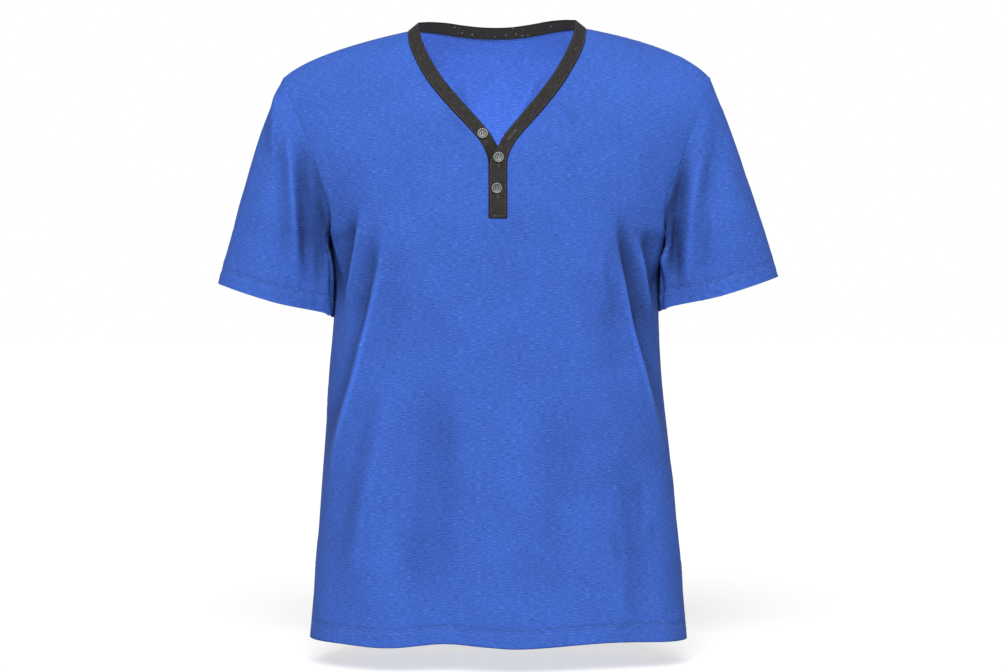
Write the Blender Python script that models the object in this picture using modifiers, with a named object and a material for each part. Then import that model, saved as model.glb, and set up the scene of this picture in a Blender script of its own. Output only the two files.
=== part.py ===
"""A short-sleeved T-shirt with a Y-neck: a rib band runs round the neck and down a three-button placket.

It is filled out as if worn, with nobody in it: every panel is a thin wall of cloth, and neck, hem, cuffs
and armholes are open. Metres, +Z up, the front faces -Y, and +X is the wearer's left. The origin is midway
between the two high points of the shoulders, where the wearer's shoulders hold the shirt up.

The body is one smooth surface that the panels are cut from. Each of its rows is a cubic Bezier curve from
the centre to the side, so four rails (centre, centre handle, side handle, side) carry the whole form.
Height runs by a "level": -1 is the hem, 0 the underarm and 1 the shoulder seam. "across" is 0 at the
centre and 1 at the side.
"""

import math

import bmesh
import bpy
from mathutils import Matrix, Vector
from mathutils.bvhtree import BVHTree

LEFT, RIGHT = 1, -1  # the wearer's left and right: the sign of X

# ---- cloth ----
JERSEY = 0.0012  # thickness of the single jersey wall
HEM_EXTRA = 0.0010  # what the turned-up edge adds on the inside
HEM_DEPTH = 0.020
STEP_UP = 0.003  # over which a hem's extra thickness fades out
SEAM = 0.00015  # each piece stops this far short of a seam line, so that two are 0.3 mm apart

# ---- body, by height below the high point of the shoulder ----
HEM_Z = -0.738
UNDERARM_Z = -0.262
ROUNDNESS = 0.64  # handle length of a row over its width or depth; 0.55 is an ellipse, more is squarer
BODY_SECTIONS = [
    {"z": HEM_Z, "half_width": 0.2305, "front": 0.128, "back": 0.116},
    {"z": -0.650, "half_width": 0.2230, "front": 0.129, "back": 0.114},
    {"z": -0.520, "half_width": 0.2118, "front": 0.131, "back": 0.107},
    {"z": -0.384, "half_width": 0.2000, "front": 0.134, "back": 0.105},
    {"z": -0.310, "half_width": 0.1965, "front": 0.136, "back": 0.112},
    {"z": UNDERARM_Z, "half_width": 0.2030, "front": 0.134, "back": 0.117},
]
LEAN = [(HEM_Z, -0.0012), (-0.650, -0.0015), (-0.520, -0.0032), (-0.384, -0.0018), (-0.310, 0.0),
        (UNDERARM_Z, 0.0), (-0.229, 0.0012), (-0.140, 0.0012), (-0.060, -0.0006),
        (0.0, 0.0)]  # height, and how far the middle is off x = 0

# ---- shoulders: the four rails where they reach the shoulder seam, (x, z) ----
SHOULDER_TOP = 0.0145
SHOULDER_SEAM = {
    LEFT: {"centre": (0.0, SHOULDER_TOP), "centre_handle": (0.050, SHOULDER_TOP),
           "side_handle": (0.280, -0.0135), "side": (0.270, -0.088)},
    RIGHT: {"centre": (0.0, SHOULDER_TOP), "centre_handle": (0.050, SHOULDER_TOP),
            "side_handle": (0.277, -0.027), "side": (0.270, -0.080)},
}
SHOULDER_BULGE = 0.024  # how far the side rail swings out, inside the sleeve, between underarm and shoulder
WIDENING = 1.7  # how early above the underarm the rails move out to the shoulder
ARCH_POWER = {"front": 1.0, "back": 0.66}  # how full the wall stays before it rolls over to the seam
ARMHOLE = {  # half width across the armhole seam, seen from the front, by height
    "front": [(-0.262, 0.2030), (-0.235, 0.2000), (-0.190, 0.2115), (-0.150, 0.2235), (-0.105, 0.2420),
              (-0.080, 0.2530), (-0.0605, 0.2600)],
    "back": [(-0.262, 0.2030), (-0.235, 0.2060), (-0.190, 0.2190), (-0.150, 0.2310), (-0.105, 0.2470),
             (-0.080, 0.2550), (-0.0605, 0.2600)],
}

# ---- neck opening ----
NECK_HALF = 0.108  # half width of the neck seam at the shoulder
NECK_OUTLINE = [(-0.240, 0.0107), (-0.174, 0.0107), (-0.166, 0.0112), (-0.155, 0.0147), (-0.1405, 0.0231),
                (-0.127, 0.0354), (-0.107, 0.0524), (-0.0863, 0.0698), (-0.063, 0.0855), (-0.0394, 0.0983),
                (-0.0150, 0.1065), (0.004, NECK_HALF)]  # height, half width of the seam and placket's slot
PLACKET_BOTTOM = -0.235
CENTRE_STRIP_AT_HEM = 0.022  # half width to which the strip of faces below the placket widens
BACK_NECK_DEPTH = 0.060  # how far behind the shoulder seam the back neck runs
BACK_NECK_CURVE = 0.8  # 0.5 makes the back neck half an ellipse, more draws it in at the sides

# ---- neck band: by height of its seam on the front; the rises are how far it stands out of the jersey ----
BAND_SECTIONS = [
    {"z": -0.240, "width": 0.0210, "left_rise": 0.0011, "right_rise": -0.0004, "depth": 0.0012, "lift": 0},
    {"z": -0.172, "width": 0.0210, "left_rise": 0.0011, "right_rise": -0.0004, "depth": 0.0012, "lift": 0},
    {"z": -0.155, "width": 0.0153, "left_rise": 0.0011, "right_rise": -0.0004, "depth": 0.0012, "lift": 0},
    {"z": -0.127, "width": 0.0155, "left_rise": 0.0005, "right_rise": 0.0005, "depth": 0.0020, "lift": 0},
    {"z": -0.088, "width": 0.0165, "left_rise": 0.0005, "right_rise": 0.0005, "depth": 0.0020, "lift": 3},
    {"z": 0.004, "width": 0.0168, "left_rise": 0.0005, "right_rise": 0.0005, "depth": 0.0020, "lift": 28},
]
BACK_BAND = {"width": 0.0155, "lift": 20}  # at the centre back; lift is degrees that the band stands up
FREE_LIFT = 9  # degrees at which the band has wholly left the body's surface
BAND_COLUMNS = 3

# ---- sleeves: the cuff's two ends seen from the front, (x, z), and how the cloth leaves the shoulder ----
SLEEVES = {
    "sleeve_left": {"half": LEFT, "outer": (0.3430, -0.3005), "inner": (0.1930, -0.3435),
                    "leave_top": (0.375, 0.0, -0.927)},
    "sleeve_right": {"half": RIGHT, "outer": (0.3400, -0.3090), "inner": (0.1930, -0.3505),
                     "leave_top": (0.440, 0.0, -0.898)},
}
CUFF_HALF_DEPTH = 0.057
CUFF_DIP = 0.0035  # how far the front and back of the cuff hang below its two ends
CUFF_EGG = 0.12  # how much fuller the cuff is on its outer side
LEAVE_SIDE = (0.80, 0.10, -0.59)  # so the cloth leaves front and back; the middle number is away from y = 0
LEAVE_UNDER = (0.02, 0.0, -1.0)
SLEEVE_REACH = 0.30  # handle length of a lengthwise line, over its length
BESIDE_BODY = 0.0010  # gap that the inside of the sleeve keeps from the body that it hangs against
CLINGS_OVER = 0.020  # height below the underarm over which the sleeve comes to lie against the body
STEEPEST = 0.4  # share of X in the body's normal, below which a fold reaches the sleeve no further out

# ---- folds: around in degrees from the centre front, + to the wearer's left; out is + for a ridge ----
BODY_FOLDS = [
    {"name": "left drape", "top": (56, -0.240), "foot": (67, -0.470), "width": 0.026, "out": 0.0045},
    {"name": "left hollow", "top": (47, -0.250), "foot": (54, -0.450), "width": 0.026, "out": -0.0045},
    {"name": "right drape", "top": (-53, -0.240), "foot": (-70, -0.500), "width": 0.028, "out": 0.0050},
    {"name": "right hollow", "top": (-45, -0.260), "foot": (-55, -0.480), "width": 0.028, "out": -0.0055},
    {"name": "right hem swell", "top": (-54, -0.440), "foot": (-47, -0.850), "width": 0.034, "out": 0.0080},
    {"name": "right hem dip", "top": (-38, -0.400), "foot": (-23, -0.850), "width": 0.032, "out": -0.0105},
    {"name": "centre hem swell", "top": (8, -0.430), "foot": (14, -0.850), "width": 0.040, "out": 0.0075},
    {"name": "left hem dip", "top": (46, -0.480), "foot": (56, -0.850), "width": 0.045, "out": -0.0070},
    {"name": "left side swell", "top": (82, -0.420), "foot": (79, -0.850), "width": 0.036, "out": 0.0045},
    {"name": "right side dip", "top": (-84, -0.400), "foot": (-96, -0.850), "width": 0.034, "out": -0.0040},
    {"name": "left blade", "top": (140, -0.200), "foot": (124, -0.850), "width": 0.042, "out": 0.0080},
    {"name": "left back dip", "top": (158, -0.250), "foot": (150, -0.850), "width": 0.036, "out": -0.0085},
    {"name": "back swell", "top": (178, -0.330), "foot": (174, -0.850), "width": 0.034, "out": 0.0060},
    {"name": "right back dip", "top": (-156, -0.280), "foot": (-164, -0.850), "width": 0.036, "out": -0.0075},
    {"name": "right blade", "top": (-134, -0.210), "foot": (-138, -0.850), "width": 0.044, "out": 0.0085},
    {"name": "right flank dip", "top": (-112, -0.330), "foot": (-116, -0.850), "width": 0.030, "out": -0.005},
]
FOLD_RADIUS = 0.17  # metres of cloth round the body for each radian
FOLD_FADE = 0.11  # length over which a fold grows from nothing at its ends
HEM_LIFT = 0.35  # how far the hem rises where the cloth is folded in, for each metre in
LIFT_FROM = -0.45

SLEEVE_FOLDS = [  # around in degrees from the shoulder, + to the front; along is 0 at armhole, 1 at cuff
    {"name": "front hollow", "top": (118, 0.10), "foot": (128, 1.40), "width": 0.016, "out": -0.0050},
    {"name": "front swell", "top": (78, 0.20), "foot": (84, 1.40), "width": 0.024, "out": 0.0035},
    {"name": "back hollow", "top": (-112, 0.15), "foot": (-122, 1.40), "width": 0.018, "out": -0.0050},
    {"name": "back swell", "top": (-70, 0.25), "foot": (-76, 1.40), "width": 0.026, "out": 0.0030},
]
SLEEVE_RADIUS = 0.066
SLEEVE_FADE = 0.35

# ---- buttons ----
BUTTON_PROFILE = [(0.0, 0.0015), (0.0043, 0.0016), (0.0047, 0.0022), (0.0055, 0.0024), (0.0062, 0.0020),
                  (0.0064, 0.0012), (0.0061, 0.0004), (0.0050, 0.0), (0.0, 0.0)]  # radius, height, top first
BUTTON_STEPS = 20
THREAD_HOLE = 0.0007
THREAD_HOLE_OFF = 0.0014  # of each hole from the button's middle, along X and Y
BUTTON_GAP = 0.0003
BUTTON_PLACES = {"button_top": (-0.0164, -0.1352), "button_middle": (0.0023, -0.1638),
                 "button_bottom": (0.0002, -0.2003)}  # (x, z) of the centres
IN_FRONT = -0.5  # a depth well in front of the shirt

# ---- how finely the surface is cut ----
ROWS_BELOW = 14  # hem to underarm
ROWS_ABOVE = [{"from": UNDERARM_Z, "to": PLACKET_BOTTOM, "rows": 2},
              {"from": PLACKET_BOTTOM, "to": -0.174, "rows": 3},
              {"from": -0.174, "to": -0.134, "rows": 4},
              {"from": -0.134, "to": SHOULDER_TOP, "rows": 8}]
SIDE_COLUMNS = 11  # centre strip or neck to the side, on each half
NECK_COLUMNS = 6  # across half of the back neck
SLEEVE_ROWS = 10
NUDGE = 1e-4  # step for slopes measured on the surface

COLOURS = {"jersey": ((0.055, 0.135, 0.58, 1), 0.9), "rib": ((0.028, 0.027, 0.027, 1), 0.9),
           "button": ((0.09, 0.09, 0.095, 1), 0.35)}


# ======== small tools ========

def collection(name):
    made = bpy.data.collections.new(name)
    bpy.context.scene.collection.children.link(made)
    return made


def material(name):
    colour, roughness = COLOURS[name]
    made = bpy.data.materials.new(name)
    made.use_nodes = True
    shader = made.node_tree.nodes["Principled BSDF"]
    shader.inputs["Base Color"].default_value = colour
    shader.inputs["Roughness"].default_value = roughness
    shader.inputs["Metallic"].default_value = 0.0
    return made


def mix(a, b, share):
    return a + (b - a) * share


def ease(share):
    """0 to 1 with level ends."""
    share = min(1.0, max(0.0, share))
    return share * share * (3 - 2 * share)


def through(pairs, at):
    """A smooth curve through (position, value) pairs in rising order, which never swings past a value."""
    at = min(max(at, pairs[0][0]), pairs[-1][0])
    k = max(i for i in range(len(pairs) - 1) if pairs[i][0] <= at)

    def rate(i):
        return (pairs[i + 1][1] - pairs[i][1]) / (pairs[i + 1][0] - pairs[i][0])

    def slope(i):
        before, after = rate(max(i - 1, 0)), rate(min(i, len(pairs) - 2))
        return 2 * before * after / (before + after) if before * after > 0 else 0.0

    (x0, y0), (x1, y1) = pairs[k], pairs[k + 1]
    span = x1 - x0
    t = (at - x0) / span
    return ((1 + 2 * t) * (1 - t) ** 2 * y0 + t * (1 - t) ** 2 * span * slope(k)
            + t * t * (3 - 2 * t) * y1 + t * t * (t - 1) * span * slope(k + 1))


def from_table(rows, height, column):
    return through([(row["z"], row[column]) for row in rows], height)


def bezier(a, b, c, d, t):
    s = 1 - t
    return a * s ** 3 + b * (3 * s * s * t) + c * (3 * s * t * t) + d * t ** 3


def crossing(miss, low, high):
    """Where miss(x) changes sign between low and high."""
    falling = miss(low) > 0
    for _ in range(30):
        middle = (low + high) / 2
        if (miss(middle) > 0) == falling:
            low = middle
        else:
            high = middle
    return (low + high) / 2


# ======== the body surface ========

def rails(face, half, level):
    """The four control points of the row at this level, with X out from the middle."""
    toward = -1 if face == "front" else 1
    height = mix(UNDERARM_Z, HEM_Z, -level) if level < 0 else UNDERARM_Z
    width = from_table(BODY_SECTIONS, height, "half_width")
    depth = from_table(BODY_SECTIONS, height, face) * toward
    base = {"centre": Vector((0, depth, height)),
            "centre_handle": Vector((ROUNDNESS * width, depth, height)),
            "side_handle": Vector((width, ROUNDNESS * depth, height)),
            "side": Vector((width, 0, height))}
    if level <= 0:
        return list(base.values())
    turn = level * math.pi / 2  # the wall rolls over the shoulder like a quarter of an arch
    rise, hold = math.sin(turn), max(math.cos(turn), 0.0) ** ARCH_POWER[face]
    out = 1 - (1 - rise) ** WIDENING
    for rail, (seam_x, seam_z) in SHOULDER_SEAM[half].items():
        swing = SHOULDER_BULGE * math.sin(math.pi * level) ** 2 if rail.startswith("side") else 0.0
        start = base[rail]
        base[rail] = Vector((mix(start.x, seam_x, out) + swing, start.y * hold, mix(start.z, seam_z, rise)))
    return list(base.values())


def bare_body(face, half, level, across):
    """A point of the body before folds."""
    point = bezier(*rails(face, half, level), across)
    point.x = point.x * half + through(LEAN, point.z)
    return point


def half_width(point, half):
    """How far a point is out from the middle."""
    return (point.x - through(LEAN, point.z)) * half


def fold_height(folds, around, along, radius, fade):
    """How far out the folds push the cloth at one place."""
    total = 0.0
    for fold in folds:
        (top_around, top), (foot_around, foot) = fold["top"], fold["foot"]
        share = (along - top) / (foot - top)
        if not 0 < share < 1:
            continue
        off = (around - mix(top_around, foot_around, share) + 180) % 360 - 180
        inside = min(abs(along - top), abs(foot - along)) / fade
        total += fold["out"] * ease(inside) * math.exp(-(math.radians(off) * radius / fold["width"]) ** 2)
    return total


def outward(surface, face, half, level, across):
    """The normal of a surface out of the shirt, from a small step each way."""
    top, foot = min(level + NUDGE, 1.0), max(level - NUDGE, -1.0)
    far, near = min(across + NUDGE, 1.0), max(across - NUDGE, 0.0)
    up = surface(face, half, top, across) - surface(face, half, foot, across)
    side = surface(face, half, level, far) - surface(face, half, level, near)
    return side.cross(up).normalized() * (half if face == "front" else -half)


def body(face, half, level, across):
    """A point of the body's outer skin, folds and all."""
    point = bare_body(face, half, level, across)
    around = math.degrees(math.atan2(point.x, -point.y))
    out = fold_height(BODY_FOLDS, around, point.z, FOLD_RADIUS, FOLD_FADE)
    if out:
        point += outward(bare_body, face, half, level, across) * out
    point.z -= HEM_LIFT * out * ease((LIFT_FROM - point.z) / (LIFT_FROM - HEM_Z))
    return point


def level_of(height):
    """The level at which the centre front is at this height."""
    if height <= UNDERARM_Z:
        return (height - UNDERARM_Z) / (UNDERARM_Z - HEM_Z)
    return crossing(lambda level: bare_body("front", LEFT, level, 0.0).z - height, 0.0, 1.0)


def armhole_at(face, half, level):
    """How far across a row reaches before the armhole seam."""
    if level <= 0:
        return 1.0

    def beyond(across):
        point = bare_body(face, half, level, across)
        return half_width(point, half) - through(ARMHOLE[face], point.z)

    marks = [0.4 + 0.01 * k for k in range(61)]
    for low, high in zip(marks, marks[1:]):
        if beyond(low) <= 0 < beyond(high):
            return crossing(beyond, low, high)
    return 1.0


def opening_at(half, level):
    """How far across a front row starts, at the neck seam or the edge of the placket's slot."""

    def inside(across):
        point = bare_body("front", half, level, across)
        return half_width(point, half) - through(NECK_OUTLINE, point.z)

    return crossing(inside, 0.0, 0.8)


def strip_at(half, level):
    """How far across the centre strip below the placket reaches at this level."""
    share = (bare_body("front", half, level, 0.0).z - HEM_Z) / (PLACKET_BOTTOM - HEM_Z)
    wanted = mix(CENTRE_STRIP_AT_HEM, NECK_OUTLINE[0][1], share)

    def beyond(across):
        return half_width(bare_body("front", half, level, across), half) - wanted

    return crossing(beyond, 0.0, 0.5)


def back_neck_level(half, across):
    """The level at which the back panel meets the neck seam, this far across."""

    def behind(level):
        point = bare_body("back", half, level, across)
        inside = max(0.0, 1 - (half_width(point, half) / NECK_HALF) ** 2)
        return point.y - BACK_NECK_DEPTH * inside ** BACK_NECK_CURVE

    return crossing(behind, 0.3, 1.0)


def front_depth(x, z):
    """The depth of the bare front at a place seen from the front."""
    half = LEFT if x > 0 else RIGHT
    level = level_of(z)
    across = 0.05
    for _ in range(8):
        here = bare_body("front", half, level, across)
        up = (bare_body("front", half, level + NUDGE, across) - here) / NUDGE
        out = (bare_body("front", half, level, across + NUDGE) - here) / NUDGE
        miss_x, miss_z = x - here.x, z - here.z
        area = out.x * up.z - out.z * up.x
        across += (miss_x * up.z - miss_z * up.x) / area
        level += (out.x * miss_z - out.z * miss_x) / area
    return bare_body("front", half, level, across).y


def row_side(half, level, y):
    """How far out one row of the body reaches at this depth, where folds swell it too."""
    face = "front" if y < 0 else "back"
    across = crossing(lambda t: abs(bare_body(face, half, level, t).y) - abs(y), 0.0, 1.0)
    point = bare_body(face, half, level, across)
    around = math.degrees(math.atan2(point.x, -point.y))
    swell = max(0.0, fold_height(BODY_FOLDS, around, point.z, FOLD_RADIUS, FOLD_FADE))
    sideways = outward(bare_body, face, half, level, across).x * half
    return point.x * half + swell / max(sideways, STEEPEST)


def body_side(half, y, z):
    """How far out the body reaches below the underarm. Its wall runs straight from row to row."""
    level = level_of(z)
    low, high = next((a, b) for a, b in zip(LOWER, LOWER[1:]) if a <= level <= b)
    return mix(row_side(half, low, y), row_side(half, high, y), (level - low) / (high - low))


# ======== walls ========

class Wall:
    """Points of an outer skin with their normals and the faces between them, closed into one solid."""

    def __init__(self, name, cloth):
        self.name, self.cloth = name, cloth
        self.points, self.normals, self.depths, self.partners, self.faces = [], [], [], [], []

    def add(self, point, normal, thickness, partner=None):
        """Adds a point; partner is the normal of the piece that it is seamed to there."""
        self.points.append(point)
        self.normals.append(normal)
        self.depths.append(thickness)
        self.partners.append(partner)
        return len(self.points) - 1

    def grid(self, rows, closed=False):
        """Faces over rows of point numbers."""
        for low, high in zip(rows, rows[1:]):
            for i in range(len(low) if closed else len(low) - 1):
                j = (i + 1) % len(low)
                self.faces.append((low[i], low[j], high[j], high[i]))

    def rim(self):
        """Edges that have a face on one side only, each with that face."""
        edges = {}
        for face in self.faces:
            for a, b in zip(face, face[1:] + face[:1]):
                edges.setdefault(frozenset((a, b)), []).append((a, b, face))
        return [found[0] for found in edges.values() if len(found) == 1]

    def trim(self, rim):
        """Draws the whole rim in along the cloth by the seam's gap."""
        inward = {}
        for a, b, face in rim:
            along = (self.points[b] - self.points[a]).normalized()
            middle = sum((self.points[i] for i in face), Vector()) / len(face)
            in_face = middle - (self.points[a] + self.points[b]) / 2
            in_face = (in_face - along * in_face.dot(along)).normalized()
            inward.setdefault(a, []).append(in_face)
            inward.setdefault(b, []).append(in_face)
        for i, (first, second) in inward.items():
            self.points[i] = self.points[i] + (first + second) * SEAM / (1 + first.dot(second))

    def step_in(self, i):
        """The step to the inner skin. Where two pieces meet nearly in line they share its direction."""
        normal, partner = self.normals[i], self.partners[i]
        if partner is None:
            return -normal * self.depths[i]
        in_line = ease((normal.dot(partner) - 0.3) / 0.5)
        self.points[i] = self.points[i] - normal * SEAM * (1 - in_line)  # a fork's sides also part sideways
        return -(normal + partner * in_line).normalized() * self.depths[i]

    def build(self):
        rim = self.rim()
        self.trim(rim)
        steps = [self.step_in(i) for i in range(len(self.points))]
        inner = [point + step for point, step in zip(self.points, steps)]
        back = len(self.points)
        faces = list(self.faces)
        faces += [tuple(back + i for i in reversed(face)) for face in self.faces]
        faces += [(b, a, back + a, back + b) for a, b, _ in rim]
        mesh = bpy.data.meshes.new(self.name)
        mesh.from_pydata(self.points + inner, [], faces)
        shape = bmesh.new()
        shape.from_mesh(mesh)
        bmesh.ops.recalc_face_normals(shape, faces=shape.faces)
        shape.to_mesh(mesh)
        shape.free()
        return add_piece(self.name, mesh, self.cloth)


def add_piece(name, mesh, finish):
    if not mesh.materials:
        mesh.materials.append(MATERIALS[finish])
    mesh.shade_smooth()
    mesh.set_sharp_from_angle(angle=math.radians(40))
    piece = bpy.data.objects.new(name, mesh)
    SHIRT.objects.link(piece)
    return piece


# ======== sleeves ========

def armhole_ring(half):
    """The armhole's seam points, down the front from the shoulder and up the back, with their normals."""
    keys = [("front", level) for level in reversed([0.0] + UPPER)]
    keys += [("back", level) for level in UPPER[:-1]]
    ring = []
    for face, level in keys:
        across = armhole_at(face, half, level)
        ring.append({"face": face, "level": level, "point": body(face, half, level, across),
                     "normal": outward(body, face, half, level, across)})
    return ring


def ring_angles(ring):
    """Each seam point's way round, by the length of seam before it: 0 at the shoulder, pi under the arm."""
    lengths = [0.0]
    for i, spot in enumerate(ring):
        lengths.append(lengths[-1] + (ring[(i + 1) % len(ring)]["point"] - spot["point"]).length)
    lowest = len(UPPER)
    under, whole = lengths[lowest], lengths[-1]
    return [math.pi * d / under if i <= lowest else math.pi * (1 + (d - under) / (whole - under))
            for i, d in enumerate(lengths[:-1])]


def leaving(sleeve, around):
    """The way the sleeve's cloth leaves the armhole."""
    top, under, side = max(math.cos(around), 0) ** 2, max(-math.cos(around), 0) ** 2, math.sin(around) ** 2
    way = Vector(sleeve["leave_top"]) * top + Vector(LEAVE_UNDER) * under
    way += Vector((LEAVE_SIDE[0], -LEAVE_SIDE[1] * math.sin(around), LEAVE_SIDE[2])) * side
    return Vector((way.x * sleeve["half"], way.y, way.z)).normalized()


def cuff_ends(sleeve):
    (outer_x, outer_z), (inner_x, inner_z) = sleeve["outer"], sleeve["inner"]
    return Vector((outer_x * sleeve["half"], 0, outer_z)), Vector((inner_x * sleeve["half"], 0, inner_z))


def cuff_point(sleeve, around):
    outer, inner = cuff_ends(sleeve)
    point = (outer + inner) / 2 + (outer - inner) / 2 * math.cos(around)
    point.y -= CUFF_HALF_DEPTH * math.sin(around) * (1 + CUFF_EGG * math.cos(around))
    point.z -= CUFF_DIP * math.sin(around) ** 2
    return point


def arm_way(sleeve):
    """The way the arm would leave the cuff: square to the line between the cuff's ends."""
    outer, inner = cuff_ends(sleeve)
    across = (outer - inner).normalized()
    return Vector((-across.z, 0, across.x)) * -sleeve["half"]


def sleeve_point(sleeve, start, around, along):
    """A point of one lengthwise line of the sleeve, kept clear of the body beside it."""
    end = cuff_point(sleeve, around)
    reach = (end - start).length * SLEEVE_REACH
    point = bezier(start, start + leaving(sleeve, around) * reach, end - arm_way(sleeve) * reach, end, along)
    if point.z < UNDERARM_Z and math.cos(around) < 0 and along > 0:
        least = body_side(sleeve["half"], point.y, point.z) + BESIDE_BODY
        clings = math.cos(around) ** 2 * ease((UNDERARM_Z - point.z) / CLINGS_OVER)
        point.x = sleeve["half"] * max(mix(point.x * sleeve["half"], least, clings), least)
    return point


def sleeve_grid(sleeve, ring):
    """Rows of (point, normal, around in degrees) from the armhole to the cuff."""
    angles = ring_angles(ring)
    length = (cuff_point(sleeve, 0.0) - ring[0]["point"]).length
    hem = 1 - HEM_DEPTH / length
    plain = 1 - (HEM_DEPTH + STEP_UP) / length
    marks = [plain * k / SLEEVE_ROWS for k in range(SLEEVE_ROWS + 1)] + [hem, (1 + hem) / 2, 1.0]
    grid = []
    for along in marks:
        near, far = max(along - NUDGE, 0.0), min(along + NUDGE, 1.0)
        lines = [[sleeve_point(sleeve, spot["point"], around, mark) for mark in (near, along, far)]
                 for spot, around in zip(ring, angles)]
        row = []
        for i, (before, point, after) in enumerate(lines):
            side = lines[(i + 1) % len(lines)][1] - lines[i - 1][1]
            normal = side.cross(after - before).normalized() * sleeve["half"]
            degrees = (math.degrees(angles[i]) + 180) % 360 - 180
            row.append((point, normal, degrees))
        grid.append({"along": along, "row": row, "thickness": JERSEY + (HEM_EXTRA if along >= hem else 0.0)})
    return grid


def build_sleeve(name, ring, grid):
    wall, rows = Wall(name, "jersey"), []
    for line in grid:
        numbers = []
        for spot, (point, normal, degrees) in zip(ring, line["row"]):
            out = fold_height(SLEEVE_FOLDS, degrees, line["along"], SLEEVE_RADIUS, SLEEVE_FADE)
            partner = spot["normal"] if line["along"] == 0 else None
            numbers.append(wall.add(point + normal * out, normal, line["thickness"], partner))
        rows.append(numbers)
    wall.grid(rows, closed=True)
    return wall.build()


# ======== panels ========

def wall_at(level):
    """Thickness of the body's wall, doubled into the hem."""
    above = -level if level < 0 else 0.0
    above_hem = (UNDERARM_Z - HEM_Z) * (1 - above)
    return JERSEY + HEM_EXTRA * (1 - ease((above_hem - HEM_DEPTH) / STEP_UP))


def add_spot(wall, face, half, level, across, partner=None):
    point, normal = body(face, half, level, across), outward(body, face, half, level, across)
    return wall.add(point, normal, wall_at(level), partner)


def side_row(wall, face, half, level, start, sleeve_normals):
    """Point numbers from a start, this far across, to the side seam or the armhole."""
    stop = armhole_at(face, half, level)
    numbers = []
    for k in range(SIDE_COLUMNS + 1):
        partner = sleeve_normals.get((face, half, level)) if k == SIDE_COLUMNS else None
        numbers.append(add_spot(wall, face, half, level, mix(start, stop, k / SIDE_COLUMNS), partner))
    return numbers


def build_front(sleeve_normals):
    """One panel below the placket; above its foot the two halves part for the slot and the neck."""
    wall, middle, halves = Wall("front", "jersey"), [], {LEFT: [], RIGHT: []}
    for level in LOWER + UPPER:
        split = level > PLACKET_LEVEL
        for half in (RIGHT, LEFT):
            start = opening_at(half, level) if split else strip_at(half, level)
            halves[half].append(side_row(wall, "front", half, level, start, sleeve_normals))
        if not split:
            centre = add_spot(wall, "front", LEFT, level, 0.0)
            middle.append([halves[RIGHT][-1][0], centre, halves[LEFT][-1][0]])
    for rows in (halves[RIGHT], halves[LEFT], middle):
        wall.grid(rows)
    return wall.build()


def neck_columns(half):
    """(across, level of the neck seam) of the columns that end at the back neck, from the centre out."""
    spread = [HIGH_POINT[half] * math.sin(math.pi / 2 * k / NECK_COLUMNS) for k in range(NECK_COLUMNS)]
    return [(across, back_neck_level(half, across)) for across in spread]


def build_back(sleeve_normals):
    """The neck's columns end at the neck seam and the others at the shoulder seam."""
    wall, rows = Wall("back", "jersey"), []
    columns = {half: neck_columns(half) for half in (RIGHT, LEFT)}
    for level in LOWER + UPPER:
        row = {}
        for half in (RIGHT, LEFT):
            neck = [add_spot(wall, "back", half, level * top if level > 0 else level, across)
                    for across, top in columns[half][1:]]
            row[half] = neck + side_row(wall, "back", half, level, HIGH_POINT[half], sleeve_normals)
        across, top = columns[LEFT][0]
        centre = add_spot(wall, "back", LEFT, level * top if level > 0 else level, across)
        rows.append(list(reversed(row[RIGHT])) + [centre] + row[LEFT])
    wall.grid(rows)
    return wall.build()


# ======== neck band ========

def band_stations():
    """The neck seam, from the placket's foot up the wearer's right, round the back and down the left."""
    stations = []
    for half in (RIGHT, LEFT):
        front = []
        for level in UPPER[UPPER.index(PLACKET_LEVEL):]:
            across = opening_at(half, level) if level > PLACKET_LEVEL else strip_at(half, level)
            seam = body("front", half, level, across)
            section = {key: from_table(BAND_SECTIONS, seam.z, key) for key in BAND_SECTIONS[0]}
            front.append({"seam": seam, "normal": outward(body, "front", half, level, across),
                          "width": section["width"], "depth": section["depth"], "lift": section["lift"],
                          "rise": section["left_rise" if half == LEFT else "right_rise"]})
        last = front[-1]
        back = []
        for k, (across, level) in enumerate(neck_columns(half)):
            share = math.sin(math.pi / 2 * k / NECK_COLUMNS)
            back.append({**last, "seam": body("back", half, level, across),
                         "normal": outward(body, "back", half, level, across),
                         "width": mix(BACK_BAND["width"], last["width"], share),
                         "lift": mix(BACK_BAND["lift"], last["lift"], share)})
        stations += front + list(reversed(back)) if half == RIGHT else back[1:] + list(reversed(front))
    return stations


def build_band():
    """Each station is a line across the band, which lies on the body low down and stands up at the neck."""
    wall, rows = Wall("neck_band", "rib"), []
    stations = band_stations()
    for i, station in enumerate(stations):
        before, after = stations[max(i - 1, 0)]["seam"], stations[min(i + 1, len(stations) - 1)]["seam"]
        along, normal = (after - before).normalized(), station["normal"]
        flat = along.cross(normal).normalized()
        if i in (0, len(stations) - 1):
            flat = Vector((flat.x, 0, 0)).normalized()
        lift = math.radians(station["lift"])
        way = flat * math.cos(lift) + normal * math.sin(lift)
        stands = normal * math.cos(lift) - flat * math.sin(lift)
        free = ease(station["lift"] / FREE_LIFT)
        row = []
        for k in range(BAND_COLUMNS + 1):
            point = station["seam"] + way * station["width"] * k / BAND_COLUMNS
            if free < 1:
                point.y = mix(front_depth(point.x, point.z), point.y, free)
            facing = stands if k else normal
            row.append(wall.add(point + facing * station["rise"], facing, station["depth"]))
        rows.append(row)
    wall.grid(rows)
    return wall.build()


# ======== buttons ========

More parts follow.
